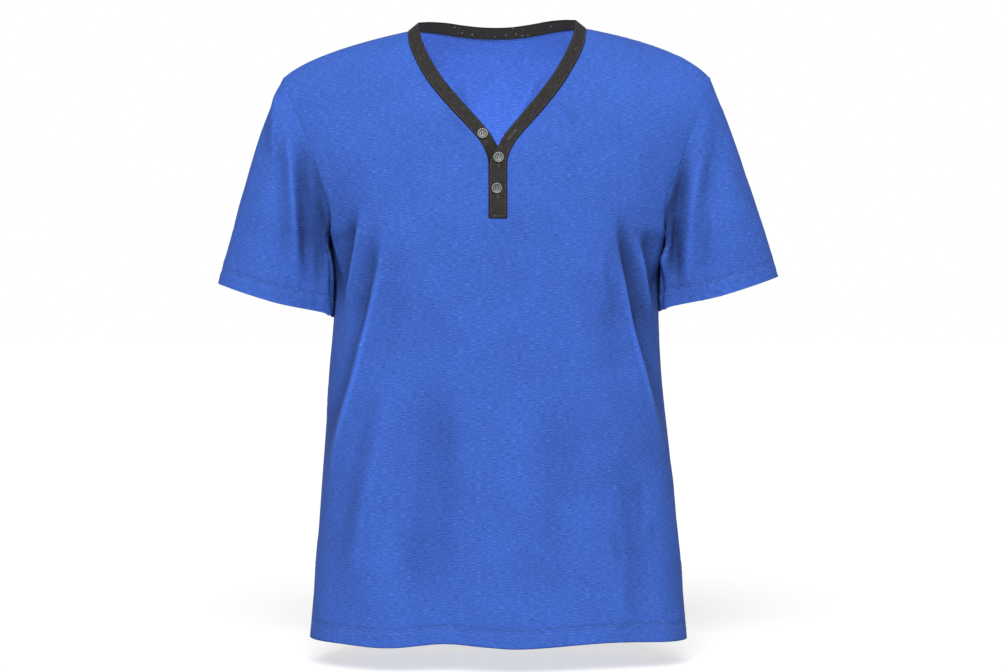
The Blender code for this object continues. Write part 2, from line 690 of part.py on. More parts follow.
def button_mesh():
    """A turned disc with a raised rim and four thread holes, lying on z = 0."""
    profile = bpy.data.meshes.new("button_profile")
    points = [(radius, 0, height) for radius, height in BUTTON_PROFILE]
    profile.from_pydata(points, [(i, i + 1) for i in range(len(points) - 1)], [])
    blank = bpy.data.objects.new("button_blank", profile)
    CUTTERS.objects.link(blank)
    screw = blank.modifiers.new("turn", "SCREW")
    screw.steps = screw.render_steps = BUTTON_STEPS
    screw.use_merge_vertices = True
    screw.merge_threshold = 0.00001
    for x in (-THREAD_HOLE_OFF, THREAD_HOLE_OFF):
        for y in (-THREAD_HOLE_OFF, THREAD_HOLE_OFF):
            cut = blank.modifiers.new("thread_hole", "BOOLEAN")
            cut.operation, cut.solver = "DIFFERENCE", "EXACT"
            cut.object = thread_hole(x, y)
    view = bpy.context.evaluated_depsgraph_get()
    made = bpy.data.meshes.new_from_object(blank.evaluated_get(view))
    made.name = "button"
    bpy.data.objects.remove(blank)
    return made


def thread_hole(x, y):
    bpy.ops.mesh.primitive_cylinder_add(vertices=8, radius=THREAD_HOLE, depth=0.01, location=(x, y, 0))
    cutter = bpy.context.object
    cutter.name = "hole_cutter"
    for home in list(cutter.users_collection):
        home.objects.unlink(cutter)
    CUTTERS.objects.link(cutter)
    cutter.hide_render = True
    cutter.display_type = "WIRE"
    return cutter


def build_buttons(band):
    """Each button lies on the band where a line from straight in front meets it."""
    tree = BVHTree.FromPolygons([v.co for v in band.data.vertices], [p.vertices for p in band.data.polygons])
    mesh = button_mesh()
    for name, (x, z) in BUTTON_PLACES.items():
        seat, normal, _, _ = tree.ray_cast(Vector((x, IN_FRONT, z)), Vector((0, 1, 0)))
        button = add_piece(name, mesh, "button")
        up_the_front = (Vector((0, 0, 1)) - normal * normal.z).normalized()
        facing = Matrix((up_the_front.cross(normal), up_the_front, normal)).transposed()
        button.matrix_world = Matrix.Translation(seat + normal * BUTTON_GAP) @ facing.to_4x4()


# ======== the shirt ========

def lower_levels():
    """Rows from the hem to just below the underarm, with two more where the hem's turn-up ends."""
    drop = UNDERARM_Z - HEM_Z
    marks = [-1.0, -1.0 + HEM_DEPTH / drop, -1.0 + (HEM_DEPTH + STEP_UP) / drop]
    rest = ROWS_BELOW - len(marks)
    return marks + [mix(marks[-1], 0.0, (k + 1) / (rest + 1)) for k in range(rest)] + [0.0]


def upper_levels():
    levels = []
    for band in ROWS_ABOVE:
        low, high = level_of(band["from"]), level_of(band["to"])
        levels += [mix(low, high, (k + 1) / band["rows"]) for k in range(band["rows"])]
    levels[-1] = 1.0
    return levels


for old in list(bpy.data.objects):
    bpy.data.objects.remove(old)
SHIRT = collection("t_shirt")
CUTTERS = collection("cutters")
MATERIALS = {name: material(name) for name in COLOURS}
LOWER, UPPER = lower_levels(), upper_levels()
PLACKET_LEVEL = UPPER[ROWS_ABOVE[0]["rows"] - 1]
HIGH_POINT = {half: opening_at(half, 1.0) for half in (LEFT, RIGHT)}  # across, on the shoulder seam


def main():
    sleeve_normals, sleeves = {}, []
    for name, sleeve in SLEEVES.items():
        ring = armhole_ring(sleeve["half"])
        grid = sleeve_grid(sleeve, ring)
        sleeves.append((name, ring, grid))
        for spot, (_, normal, _) in zip(ring, grid[0]["row"]):
            shared = spot["level"] in (0.0, 1.0)
            for face in ("front", "back") if shared else (spot["face"],):
                sleeve_normals[(face, sleeve["half"], spot["level"])] = normal
    build_front(sleeve_normals)
    build_back(sleeve_normals)
    for name, ring, grid in sleeves:
        build_sleeve(name, ring, grid)
    build_buttons(build_band())


main()
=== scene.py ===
# %% [markdown]
# # A short-sleeved T-shirt with a rib Y-neck
#
# The shirt is blue melange jersey with a charcoal rib band round its Y-shaped neck, which runs on as a
# placket with three buttons. It hangs filled out as if somebody wore it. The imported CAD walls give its
# form, and this lesson turns them into cloth: finer, creased, sewn and coloured. Everything is in
# metres, +Z up, and the front faces -Y.

# %% Load the CAD walls
import math
import random

import bmesh
import bpy
import numpy as np
from mathutils import Matrix, Vector, noise
from mathutils.bvhtree import BVHTree
from mathutils.kdtree import KDTree


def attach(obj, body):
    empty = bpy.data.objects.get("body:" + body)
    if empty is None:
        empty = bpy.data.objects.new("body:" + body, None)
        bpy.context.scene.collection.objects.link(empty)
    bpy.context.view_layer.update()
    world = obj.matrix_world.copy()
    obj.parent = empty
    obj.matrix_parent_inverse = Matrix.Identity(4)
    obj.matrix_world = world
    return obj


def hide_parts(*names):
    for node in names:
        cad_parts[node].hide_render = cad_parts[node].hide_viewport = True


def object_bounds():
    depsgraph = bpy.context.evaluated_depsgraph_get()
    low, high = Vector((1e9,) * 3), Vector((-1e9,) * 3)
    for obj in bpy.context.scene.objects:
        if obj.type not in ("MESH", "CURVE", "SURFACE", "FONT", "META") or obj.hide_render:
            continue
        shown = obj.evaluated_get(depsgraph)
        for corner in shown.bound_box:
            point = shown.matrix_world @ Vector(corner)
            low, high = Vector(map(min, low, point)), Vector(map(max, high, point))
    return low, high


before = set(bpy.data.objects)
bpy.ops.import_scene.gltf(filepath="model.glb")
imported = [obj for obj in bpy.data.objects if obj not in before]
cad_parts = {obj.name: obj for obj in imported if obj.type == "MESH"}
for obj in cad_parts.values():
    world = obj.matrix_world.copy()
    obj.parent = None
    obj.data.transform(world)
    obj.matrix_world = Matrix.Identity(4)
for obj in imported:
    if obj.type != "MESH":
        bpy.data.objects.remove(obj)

CAD_LOW, CAD_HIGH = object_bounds()
print("CAD nodes:", sorted(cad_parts), "from", tuple(CAD_LOW), "to", tuple(CAD_HIGH))

# %% [markdown]
# ## Camera
#
# The photograph is a product shot on white. The camera is level with the middle of the shirt, and so
# far off that the picture hardly converges.

# %% Camera
CAMERA_PLACE = (0.0085, -3.2, -0.373)
PICTURE_WIDTH = 1.2298  # metres of the picture at the shirt's middle
SENSOR = 36.0


def put_in_scene(name, data):
    """An object made of this mesh, camera or light."""
    made = bpy.data.objects.new(name, data)
    bpy.context.scene.collection.objects.link(made)
    return made


camera = put_in_scene("camera", bpy.data.cameras.new("camera"))
camera.location = CAMERA_PLACE
camera.rotation_euler = (math.pi / 2, 0, 0)
camera.data.sensor_width = SENSOR
camera.data.lens = SENSOR * -CAMERA_PLACE[1] / PICTURE_WIDTH
bpy.context.scene.camera = camera
bpy.context.scene.view_settings.view_transform = "Standard"
print(f"camera lens: {camera.data.lens:.1f} mm")

# %% [markdown]
# ## Light
#
# A pale room lights the cloth from all sides, and one wide soft sun above the camera models it. Shops
# light the inside of the back by itself, so a small lamp inside the shirt does that here.

# %% Light
BEHIND = (0.75, 0.93)  # the Y of a direction, between which the world turns white behind the shirt
ROOM = 0.40  # brightness of the rest of the room
KEY_FROM, KEY_ANGLE, KEY_STRENGTH = (-0.05, -1.0, 0.76), math.radians(30), 8.9
INNER_PLACE, INNER_AIM = (0.0, -0.04, -0.55), (0.0, 0.08, -0.06)  # in the shirt, to the back of the neck
INNER_SIZE, INNER_POWER = (0.20, 0.08), 7.4


def shader_node(tree, kind, inputs=(), **settings):
    """A node with its settings. An input that is another node's socket is linked, any other is set."""
    made = tree.nodes.new("ShaderNode" + kind)
    for name, value in settings.items():
        setattr(made, name, value)
    for socket, value in dict(inputs).items():
        if isinstance(value, bpy.types.NodeSocket):
            tree.links.new(value, made.inputs[socket])
        else:
            made.inputs[socket].default_value = value
    return made


def light_room():
    """A room that is white behind the shirt and dimmer in front of it."""
    world = bpy.data.worlds.new("white_room")
    world.use_nodes = True
    tree, background = world.node_tree, world.node_tree.nodes["Background"]
    direction = shader_node(tree, "TexCoord").outputs["Generated"]
    depth = shader_node(tree, "SeparateXYZ", {0: direction}).outputs["Y"]
    spans = {"Value": depth, "From Min": BEHIND[0], "From Max": BEHIND[1], "To Min": ROOM, "To Max": 1.0}
    tree.links.new(shader_node(tree, "MapRange", spans).outputs[0], background.inputs["Strength"])
    background.inputs["Color"].default_value = (1, 1, 1, 1)
    return world


def lamp(name, kind, energy, place, aim=(0, 0, 0)):
    made = put_in_scene(name, bpy.data.lights.new(name, kind))
    made.data.energy, made.location = energy, place
    made.rotation_euler = (Vector(place) - Vector(aim)).to_track_quat("Z", "Y").to_euler()
    return made


bpy.context.scene.world = light_room()
key = lamp("key", "SUN", KEY_STRENGTH, KEY_FROM)
key.data.angle = KEY_ANGLE
inner = lamp("inner", "AREA", INNER_POWER, INNER_PLACE, INNER_AIM)
inner.data.shape, inner.data.size, inner.data.size_y = "RECTANGLE", *INNER_SIZE
inner.visible_camera = False
print("lamps:", key.name, inner.name)

# %% [markdown]
# ## Floor
#
# The shirt floats a little above a sheet of paper. Grey paper that glows looks white and still takes a
# shadow.

# %% Floor
FLOOR_DROP, FLOOR_SIZE = 0.030, 400
PAPER_GREY, PAPER_GLOW = 0.18, 0.65


def plain(name, colour, roughness, more=()):
    """A material of one colour. 'more' holds further inputs of its shader."""
    made = bpy.data.materials.new(name)
    made.use_nodes = True
    inputs = made.node_tree.nodes["Principled BSDF"].inputs
    for socket, value in {"Base Color": (*colour, 1), "Roughness": roughness, **dict(more)}.items():
        inputs[socket].default_value = value
    return made


bpy.ops.mesh.primitive_plane_add(size=FLOOR_SIZE, location=(0, 0, CAD_LOW.z - FLOOR_DROP))
floor = bpy.context.object
floor.name = "floor"
glow = {"Specular IOR Level": 0.0, "Emission Color": (1, 1, 1, 1), "Emission Strength": PAPER_GLOW}
floor.data.materials.append(plain("white_paper", (PAPER_GREY,) * 3, 1.0, glow))
print(f"floor at {floor.location.z:.3f} m")

# %% [markdown]
# ## The outer skins
#
# A CAD wall is closed: an outer skin, an inner skin, and a narrow rim that joins them. Cloth is easier
# to crease as a single sheet. The rim turns by about a right angle, so a flood over the faces that
# stops at sharp edges parts the skins. Of the two largest patches, the one that faces out is kept.
# Joining pairs of triangles gives back the four-sided faces that Subdivision Surface likes.

# %% Outer skins
WELD = 1e-5
RIM_ANGLE = math.radians(50)
PAIR_BEND, PAIR_CORNER = math.radians(70), math.radians(80)  # how uneven a pair of triangles may be
FROM_MIDDLE = Vector((1, 1, 0))  # keeps a place's distance from the shirt's upright middle line
PIN = "crease_vert"  # the attribute that Subdivision Surface reads as a point's crease


def smooth_patches(shape):
    """Groups of faces that are not parted by a sharp edge, the largest area first."""
    left, patches = set(shape.faces), []
    while left:
        queue = [left.pop()]
        patch = set(queue)
        while queue:
            face = queue.pop()
            near = {other for edge in face.edges for other in edge.link_faces} & left
            near = {other for other in near if face.normal.angle(other.normal, 0) < RIM_ANGLE}
            left -= near
            patch |= near
            queue += near
        patches.append(patch)
    return sorted(patches, key=lambda patch: -sum(face.calc_area() for face in patch))


def outward(patch):
    """How much of the patch's area faces away from the shirt's middle line."""
    return sum(face.calc_area() * face.normal.dot(face.calc_center_median() * FROM_MIDDLE) for face in patch)


def outer_skin(node):
    shape = bmesh.new()
    shape.from_mesh(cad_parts[node].data)
    shape.verts.layers.float.new(PIN)
    bmesh.ops.remove_doubles(shape, verts=shape.verts, dist=WELD)
    skin = max(smooth_patches(shape)[:2], key=outward)
    bmesh.ops.delete(shape, geom=[face for face in shape.faces if face not in skin], context="FACES")
    bmesh.ops.join_triangles(shape, faces=shape.faces, angle_face_threshold=PAIR_BEND,
                             angle_shape_threshold=PAIR_CORNER)
    print(node, "skin:", len(shape.faces), "faces")
    return shape


PANELS = ("front", "back", "sleeve_left", "sleeve_right")
skins = {name: outer_skin(name) for name in PANELS}

# %% [markdown]
# ## Closing the seams
#
# The CAD pieces stop 0.3 mm apart. Real seams close, so each rim point moves to the middle of the
# points that it faces on the other panels. Where a rim turns a corner, on any panel, the point is
# creased fully, so that subdivision leaves it where it is and the rims of all panels stay one line.

# %% Close the seams
SEAM_REACH = 0.0018
CORNER = math.radians(30)  # a rim that turns by more than this has a corner


def turns(point):
    ways = [edge.other_vert(point).co - point.co for edge in point.link_edges if edge.is_boundary]
    return len(ways) == 2 and math.pi - ways[0].angle(ways[1]) > CORNER


def close_seams(shapes):
    rim = [point for shape in shapes.values() for point in shape.verts if point.is_boundary]
    places, corners = [point.co.copy() for point in rim], [turns(point) for point in rim]
    tree = KDTree(len(rim))
    for i, place in enumerate(places):
        tree.insert(place, i)
    tree.balance()
    pins = [shape.verts.layers.float[PIN] for shape in shapes.values()
            for point in shape.verts if point.is_boundary]
    for i, point in enumerate(rim):
        near = [j for _, j, _ in tree.find_range(places[i], SEAM_REACH)]
        point.co = sum((places[j] for j in near), Vector()) / len(near)
        if any(corners[j] for j in near):
            point[pins[i]] = 1.0
    return len(rim), sum(corners)


print("rim points and corners:", close_seams(skins))

# %% [markdown]
# ## The flat cut
#
# Every panel was once a flat piece of jersey. Unwrapping the skin lays it flat again, so its UV map is
# the cut: in metres, with the knitted wales running up it. The weave is drawn on these coordinates, and
# their reach is the size that the piece was cut to. A sleeve is a tube, so it is slit along its
# underarm seam first.

# %% Lay the panels flat
MIDDLE = 0.0005  # how near y = 0 the points of the underarm seam lie


def as_object(name, shape):
    mesh = bpy.data.meshes.new(name)
    shape.to_mesh(mesh)
    shape.free()
    return put_in_scene(name, mesh)


def slit_underarm(piece):
    """Marks the line of edges below the sleeve's middle as a seam."""
    places = [piece.matrix_world @ point.co for point in piece.data.vertices]
    middle = sum(places, Vector()) / len(places)
    side = math.copysign(1, middle.x)
    for edge in piece.data.edges:
        a, b = (places[i] for i in edge.vertices)
        on_line = abs(a.y) < MIDDLE and abs(b.y) < MIDDLE
        edge.use_seam = on_line and (a.x + b.x) / 2 * side < middle.x * side


def face_areas(flat, loops):
    a, b, c = flat[loops[:, 0]], flat[loops[:, 1]], flat[loops[:, 2]]
    return np.abs((b[:, 0] - a[:, 0]) * (c[:, 1] - a[:, 1]) - (c[:, 0] - a[:, 0]) * (b[:, 1] - a[:, 1])) / 2


def lay_flat(piece, up):
    """Unwraps the piece at its real size, with 'up' along +V. Returns width, length and area."""
    bpy.ops.object.select_all(action="DESELECT")
    piece.select_set(True)
    bpy.context.view_layer.objects.active = piece
    bpy.ops.object.mode_set(mode="EDIT")
    bpy.ops.mesh.select_all(action="SELECT")
    bpy.ops.uv.unwrap(method="ANGLE_BASED", margin=0)
    bpy.ops.object.mode_set(mode="OBJECT")
    mesh = piece.data
    mesh.calc_loop_triangles()
    uv_map = mesh.uv_layers.active
    uv_map.name = "cut"
    flat = np.zeros(len(mesh.loops) * 2)
    uv_map.uv.foreach_get("vector", flat)
    flat = flat.reshape(-1, 2)
    corners = np.array([mesh.vertices[loop.vertex_index].co for loop in mesh.loops])
    loops = np.array([triangle.loops[:] for triangle in mesh.loop_triangles])
    area = sum(triangle.area for triangle in mesh.loop_triangles)
    flat *= math.sqrt(area / face_areas(flat, loops).sum())
    columns = np.column_stack([flat, np.ones(len(flat))])
    rise = np.linalg.lstsq(columns, corners @ np.array(up), rcond=None)[0][:2]
    rise /= np.linalg.norm(rise)
    flat = np.column_stack([flat @ np.array([rise[1], -rise[0]]), flat @ rise])
    flat -= flat.min(axis=0)
    uv_map.uv.foreach_set("vector", flat.ravel())
    width, length = flat.max(axis=0)
    print(f"{piece.name}: cut {width:.3f} x {length:.3f} m, {area:.4f} m2")
    return float(width), float(length), float(area)


UP = {"front": (0, 0, 1), "back": (0, 0, 1), "sleeve_left": (-0.5, 0, 0.87), "sleeve_right": (0.5, 0, 0.87)}
panels, cuts = {}, {}
for name in PANELS:
    panels[name] = as_object("jersey_" + name, skins[name])
    if name.startswith("sleeve"):
        slit_underarm(panels[name])
    cuts[name] = lay_flat(panels[name], UP[name])

# %% [markdown]
# ## Finer cloth
#
# Three levels of Subdivision Surface turn the CAD's facets into a smooth sheet with a point every 2 to
# 5 mm, fine enough to press creases into. The result replaces the coarse mesh.

# %% Subdivide
LEVELS = 3


def apply_modifiers(piece):
    view = bpy.context.evaluated_depsgraph_get()
    finished = bpy.data.meshes.new_from_object(piece.evaluated_get(view))
    piece.modifiers.clear()
    piece.data = finished
    finished.name = piece.name
    finished.shade_smooth()


def refine(piece, levels=LEVELS):
    smooth = piece.modifiers.new("refine", "SUBSURF")
    smooth.levels = smooth.render_levels = levels
    apply_modifiers(piece)
    print(piece.name, "points:", len(piece.data.vertices))


for piece in panels.values():
    refine(piece)

# %% [markdown]
# ## Creases
#
# The main creases are listed, each a line seen from the front. A ridge has a narrow crest that
# catches the light and a steep side with a hollow at its foot, a trough is rounder. They grow from
# nothing and fade out again. Because a crease is placed in the shirt's own space and not on one panel,
# it may cross a seam. Each point also gets a number that changes its colour, which the material reads
# as the attribute "wear_and_shading": the hollows are painted darker as painted shade, and the crests
# paler, partly wear and partly a painted highlight.

# %% The main creases
# On each face, in millimetres: width, height (below 0 for a trough), and the line's places (x, z).
CREASES = {"front": [
    # below the wearer's right arm (left in the picture): two long drapes that start at the chest
    (7, 5.6, (-157, -215), (-170, -286), (-184, -362)),
    (9, 6.4, (-131, -232), (-139, -292), (-150, -345), (-166, -418), (-184, -479), (-196, -526),
     (-206, -580)),
    (11, -6.4, (-146, -240), (-157, -310), (-170, -390)),
    (10, -6.4, (-172, -228), (-182, -276), (-192, -345)),
    (14, -4.4, (-118, -262), (-131, -350), (-152, -450)),
    # below the wearer's left arm: the same, longer and steeper
    (8, 6.4, (133, -214), (144, -277), (151, -316), (160, -365), (174, -423), (190, -479), (206, -530)),
    (7, 5.6, (163, -248), (173, -291), (188, -368)),
    (11, -10, (143, -226), (158, -289), (170, -335), (184, -410)),
    (9, -5.5, (176, -240), (186, -285), (194, -340)),
    (8, 2.6, (119, -262), (126, -316), (139, -376)),
    (14, -4.4, (131, -300), (141, -360), (158, -440)),
    # the belly: one light swell and one broad shallow trough down to the hem
    (17, 5.6, (-122, -400), (-142, -515), (-158, -593), (-176, -700)),
    (22, -9.2, (-74, -380), (-71, -519), (-78, -636), (-76, -770)),
    (26, -5.5, (70, -430), (76, -560), (90, -760)),
    (16, -6.4, (150, -500), (166, -600), (182, -760)),
    # small dents near the wearer's left of the hem, and one under the trim
    (3.5, -1.9, (171, -535), (174, -575), (180, -612)),
    (3.5, -1.8, (137, -598), (143, -622), (150, -650)),
    (4, -1.5, (186, -590), (190, -625)),
    (3.5, -1.3, (95, -655), (112, -672), (130, -673)),
    (5, -1.8, (160, -668), (163, -690), (171, -712)),
    (4, -1.8, (-60, -98), (-54, -116), (-41, -130), (-24, -146)),
    (5, 1.9, (64, -100), (80, -116), (94, -134)),
    # sleeves, front: upright folds beside the armhole
    (8, -8.8, (229, -150), (217, -225), (213, -335)),
    (10, 4.5, (249, -130), (235, -215), (228, -330)),
    (12, -3.9, (272, -95), (262, -170), (262, -250)),
    (8, -8.4, (-237, -120), (-232, -200), (-224, -330)),
    (7, -8.4, (-221, -190), (-215, -250), (-209, -330)),
    (9, 4.5, (-252, -110), (-244, -200), (-238, -310)),
    (9, 3.4, (-266, -60), (-268, -110), (-268, -170)),
    # the body's edges stand out beside the sleeves
    (6, 2.4, (200, -180), (197.1, -228), (191.1, -264), (188.7, -306), (190, -360)),
    (8, 4.8, (206, -225), (202, -255), (198, -310)),
    (6, 3.6, (-208, -170), (-204, -216), (-194.4, -258), (-188.4, -306), (-190, -360)),
], "back": [
    # inside the neck: soft diagonals
    (6, -3.2, (-56, -40), (-44, -80), (-22, -125)),
    (7, 3.2, (52, -36), (36, -75), (16, -115)),
    # back: the same kinds of drape, from both arms and down from the shoulder blades
    (8, 5.6, (150, -200), (165, -290), (180, -380)),
    (9, 5.2, (122, -230), (137, -330), (160, -460)),
    (12, -7.4, (137, -220), (152, -320), (172, -420)),
    (8, 6, (-156, -190), (-168, -280), (-186, -390)),
    (10, 4.9, (-126, -250), (-139, -340), (-158, -480)),
    (12, -7.9, (-142, -215), (-155, -320), (-174, -440)),
    (24, -8.4, (48, -330), (58, -480), (64, -740)),
    (22, 6.8, (-30, -380), (-36, -520), (-50, -750)),
    (20, -8.4, (-100, -420), (-112, -560), (-118, -760)),
    (18, -6.9, (120, -500), (138, -620), (150, -760)),
    (4, -1.8, (150, -560), (155, -600)),
    (4, -1.5, (-60, -610), (-48, -640)),
    (9, -8.4, (231, -140), (218, -220), (212, -330)),
    (10, 4.9, (256, -120), (242, -220), (236, -320)),
    (9, -8.4, (-234, -150), (-222, -220), (-214, -335)),
    (10, 4.1, (-258, -110), (-246, -210), (-240, -320)),
]}
CREST = 0.35  # of its width, how round a ridge's crest is
RIDGE_END = 3  # widths, beyond which a ridge has died away
GENTLE, STEEP = 1.6, 0.70  # how far it spreads towards the shirt's middle and towards its side
BESIDE, BESIDE_AT, BESIDE_WIDTH = 0.8, 1.5, 0.8  # the hollow at the foot of the steep side
CREST_WEAR_AND_HIGHLIGHT, HOLLOW_PAINTED_SHADE = 0.60, 0.60  # crest: paler, wear and painted highlight; hollow: darker, painted shade
SHADING_SLOPE, SHADING_HEIGHT = 0.75, 0.0065  # the painted light is full when a crease is this steep and this high
FADE = 0.35  # of its length, over which a crease grows and fades
FACING = 0.25  # how squarely cloth faces front or back before a crease is at its full height
CREASE_REACH = 4  # widths from its line, within which points are moved


def coordinates(mesh, kind):
    values = np.zeros(len(mesh.vertices) * 3)
    mesh.vertices.foreach_get(kind, values)
    return values.reshape(-1, 3)


def ease(share):
    share = np.clip(share, 0, 1)
    return share * share * (3 - 2 * share)


def bell(distance, width):
    """1 at no distance, and almost 0 from two widths on."""
    return np.exp(-(distance / width) ** 2)


def run_lengths(line):
    """How far along the line each of its points is."""
    return np.concatenate([[0], np.cumsum(np.linalg.norm(np.diff(line, axis=0), axis=1))])


def smooth_line(corners, steps=12):
    """A Catmull-Rom curve through the corners."""
    ends = [2 * corners[0] - corners[1], *corners, 2 * corners[-1] - corners[-2]]
    found = []
    for a, b, c, d in zip(ends, ends[1:], ends[2:], ends[3:]):
        for t in np.arange(steps) / steps:
            found.append(b + (c - a) * t / 2 + (2 * a - 5 * b + 4 * c - d) * t * t / 2
                         + (3 * b - a - 3 * c + d) * t ** 3 / 2)
    return np.array([*found, corners[-1]])


def beside_line(flat, line):
    """For each flat point, its distance from the line, negative towards the shirt's middle, and how far along
    the line the nearest place is, from 0 to 1."""
    lengths = run_lengths(line)
    nearest, side, along = np.full(len(flat), 1e9), np.ones(len(flat)), np.zeros(len(flat))
    for a, b, before, after in zip(line, line[1:], lengths, lengths[1:]):
        way, off = b - a, flat - a
        t = np.clip(off @ way / (way @ way), 0, 1)
        gap = np.linalg.norm(off - t[:, None] * way, axis=1)
        closer = gap < nearest
        nearest[closer] = gap[closer]
        side[closer] = np.sign(way[0] * off[:, 1] - way[1] * off[:, 0])[closer]
        along[closer] = (before + t * (after - before))[closer] / lengths[-1]
    return nearest * side * np.sign(line[:, 0].mean()), along


def ridge(ratio):
    """Height across a ridge this many widths from its line, with its paler crest (wear and painted highlight)
    and darker hollow (painted shade).
    """
    spread = np.where(ratio > 0, ratio / STEEP, ratio / GENTLE)
    hollow = bell(ratio - BESIDE_AT, BESIDE_WIDTH)
    height = np.exp(CREST - np.sqrt(spread ** 2 + CREST ** 2)) * bell(ratio, RIDGE_END) - BESIDE * hollow
    return height, CREST_WEAR_AND_HIGHLIGHT * bell(ratio, CREST) - HOLLOW_PAINTED_SHADE * hollow


def trough(ratio):
    # a trough's colour change is painted shade
    return bell(ratio, 1), -HOLLOW_PAINTED_SHADE * bell(ratio, 1)


def crease_heights(places, normals):
    """How far each point moves out, and its colour change: paler on the crests, partly wear and partly
    painted highlight, and darker in the hollows as painted shade.
    """
    total, wear_and_shading = np.zeros(len(places)), np.zeros(len(places))
    flat = places[:, [0, 2]]
    for face, rows in CREASES.items():
        facing = normals[:, 1] * (-1 if face == "front" else 1)
        for width, height, *corners in rows:
            width, height, line = width / 1000, height / 1000, smooth_line(np.array(corners) / 1000)
            reach = np.ptp(line, axis=0).max() / 2 + CREASE_REACH * width
            near = (np.abs(flat - line.mean(axis=0)).max(axis=1) < reach) & (facing > 0)
            gap, along = beside_line(flat[near], line)
            shape, crease_shading = ridge(gap / width) if height > 0 else trough(gap / width)
            fade = ease(along / FADE) * ease((1 - along) / FADE) * ease(facing[near] / FACING)
            total[near] += height * shape * fade
            # the crease's painted light and shade, with the crests' wear
            strength = min((abs(height) / width / SHADING_SLOPE) ** 2, abs(height) / SHADING_HEIGHT)
            wear_and_shading[near] += strength * crease_shading * fade
    return total, wear_and_shading


print("main creases:", {face: len(rows) for face, rows in CREASES.items()})


# %% [markdown]
# ## Small wrinkles
#
# Jersey that has been washed and worn is covered in faint crescent wrinkles a few centimetres long, and
# it never hangs quite even. The wrinkles are short bent troughs with a ridge beside them, scattered by
# a seeded generator so that every run gives the same shirt. A slow noise adds the unevenness.

# %% Small wrinkles
WRINKLES_PER_SQUARE_METRE = 1500
WRINKLE = {"length": (0.006, 0.020), "width": (0.0022, 0.0038), "height": (0.00015, 0.00050),
           "bend": (-22, 22)}
SLANT = 0.75  # radians from level, the usual spread
WRINKLE_REACH = 2.2  # lengths, beyond which a wrinkle is nothing
WRINKLE_GAIN = 1.65  # b exp(-b b) peaks at 0.43, so a wrinkle is 0.7 of its height
SWELL_HEIGHT, SWELL_SIZE = 0.0011, 0.075
SWELL_FINER = (0.4, 2.7)  # a second noise: its share, and how many times finer it is


def wrinkle_heights(places, normals, area, seed):
    draw = random.Random(seed)
    total = np.zeros(len(places))
    for _ in range(int(area * WRINKLES_PER_SQUARE_METRE)):
        i = draw.randrange(len(places))
        length, width, height, bend = (draw.uniform(*limits) for limits in WRINKLE.values())
        turn, normal = draw.gauss(0, SLANT), Vector(normals[i])
        level = Vector((0, 0, 1)).cross(normal).normalized()
        way = level * math.cos(turn) + normal.cross(level) * math.sin(turn)
        off = places - places[i]
        along, across = off @ np.array(way), off @ np.array(normal.cross(way))
        near = np.maximum(np.abs(along), np.abs(across)) < WRINKLE_REACH * length
        near &= np.abs(off @ normals[i]) < length
        a, b = along[near], across[near]
        b = (b - bend * a * a) / width
        total[near] += -height * WRINKLE_GAIN * b * np.exp(-b * b - (a / length) ** 2)
    return total


def swell_heights(places):
    share, finer = SWELL_FINER
    found = [noise.noise(Vector(place) / SWELL_SIZE) + share * noise.noise(Vector(place) / SWELL_SIZE * finer)
             for place in places]
    return np.array(found) * SWELL_HEIGHT


print("wrinkles:", {name: int(cuts[name][2] * WRINKLES_PER_SQUARE_METRE) for name in PANELS})


# %% [markdown]
# ## Seams and hems
#
# A sewn seam lies a little lower than the cloth beside it, and the thread gathers that cloth into small
# puckers. The same goes for the hem, where two needles hold the turned-up edge. Both are found by their
# distance from the panel's own rim.

# %% Seams and hems
SEAM_DIP, SEAM_WIDTH = 0.0009, 0.0028
PUCKER, PUCKER_REACH, PUCKER_SIZE = 0.00055, 0.010, 0.009
NEEDLE_ROWS = (0.0170, 0.0220)  # of the hem's two needles above the edge
NEEDLE_DIP, NEEDLE_WIDTH = 0.0004, 0.0016
HEM_PUCKER = 0.8  # of a seam's
HEM_BELOW = {"front": -0.70, "back": -0.70, "sleeve_left": -0.28, "sleeve_right": -0.28}
HEM_RISE = 0.6  # a body's rim that climbs more steeply is its side seam


def rim_loops(mesh):
    """The rim's edges as a list of point pairs."""
    uses = np.zeros(len(mesh.edges), int)
    indices = np.zeros(len(mesh.loops), int)
    mesh.loops.foreach_get("edge_index", indices)
    np.add.at(uses, indices, 1)
    return [tuple(mesh.edges[i].vertices) for i in np.flatnonzero(uses == 1)]


def neighbours(pairs):
    near = {}
    for a, b in pairs:
        near.setdefault(a, []).append(b)
        near.setdefault(b, []).append(a)
    return near


def chain(pairs):
    """Joins point pairs into one line, from its end or, round a loop, from any point."""
    near = neighbours(pairs)
    line = [min(near, key=lambda i: len(near[i]))]
    seen = set(line)
    while ends := [i for i in near[line[-1]] if i not in seen]:
        seen.add(ends[0])
        line.append(ends[0])
    return line + [line[0]] if line[0] in near[line[-1]] and len(line) > 2 else line


def hem_and_seam(name, mesh, places):
    """The rim points of the hem and those of the seams."""
    rim, hem = neighbours(rim_loops(mesh)), set()
    for i, ends in rim.items():
        ways = [places[j] - places[i] for j in ends]
        rise = max(abs(way[2]) / np.linalg.norm(way) for way in ways)
        if places[i][2] < HEM_BELOW[name] and (rise < HEM_RISE or name.startswith("sleeve")):
            hem.add(i)
    return hem, set(rim) - hem


def distances(places, marks):
    tree = KDTree(len(marks))
    for i in marks:
        tree.insert(places[i], i)
    tree.balance()
    return np.array([tree.find(place)[2] for place in places])


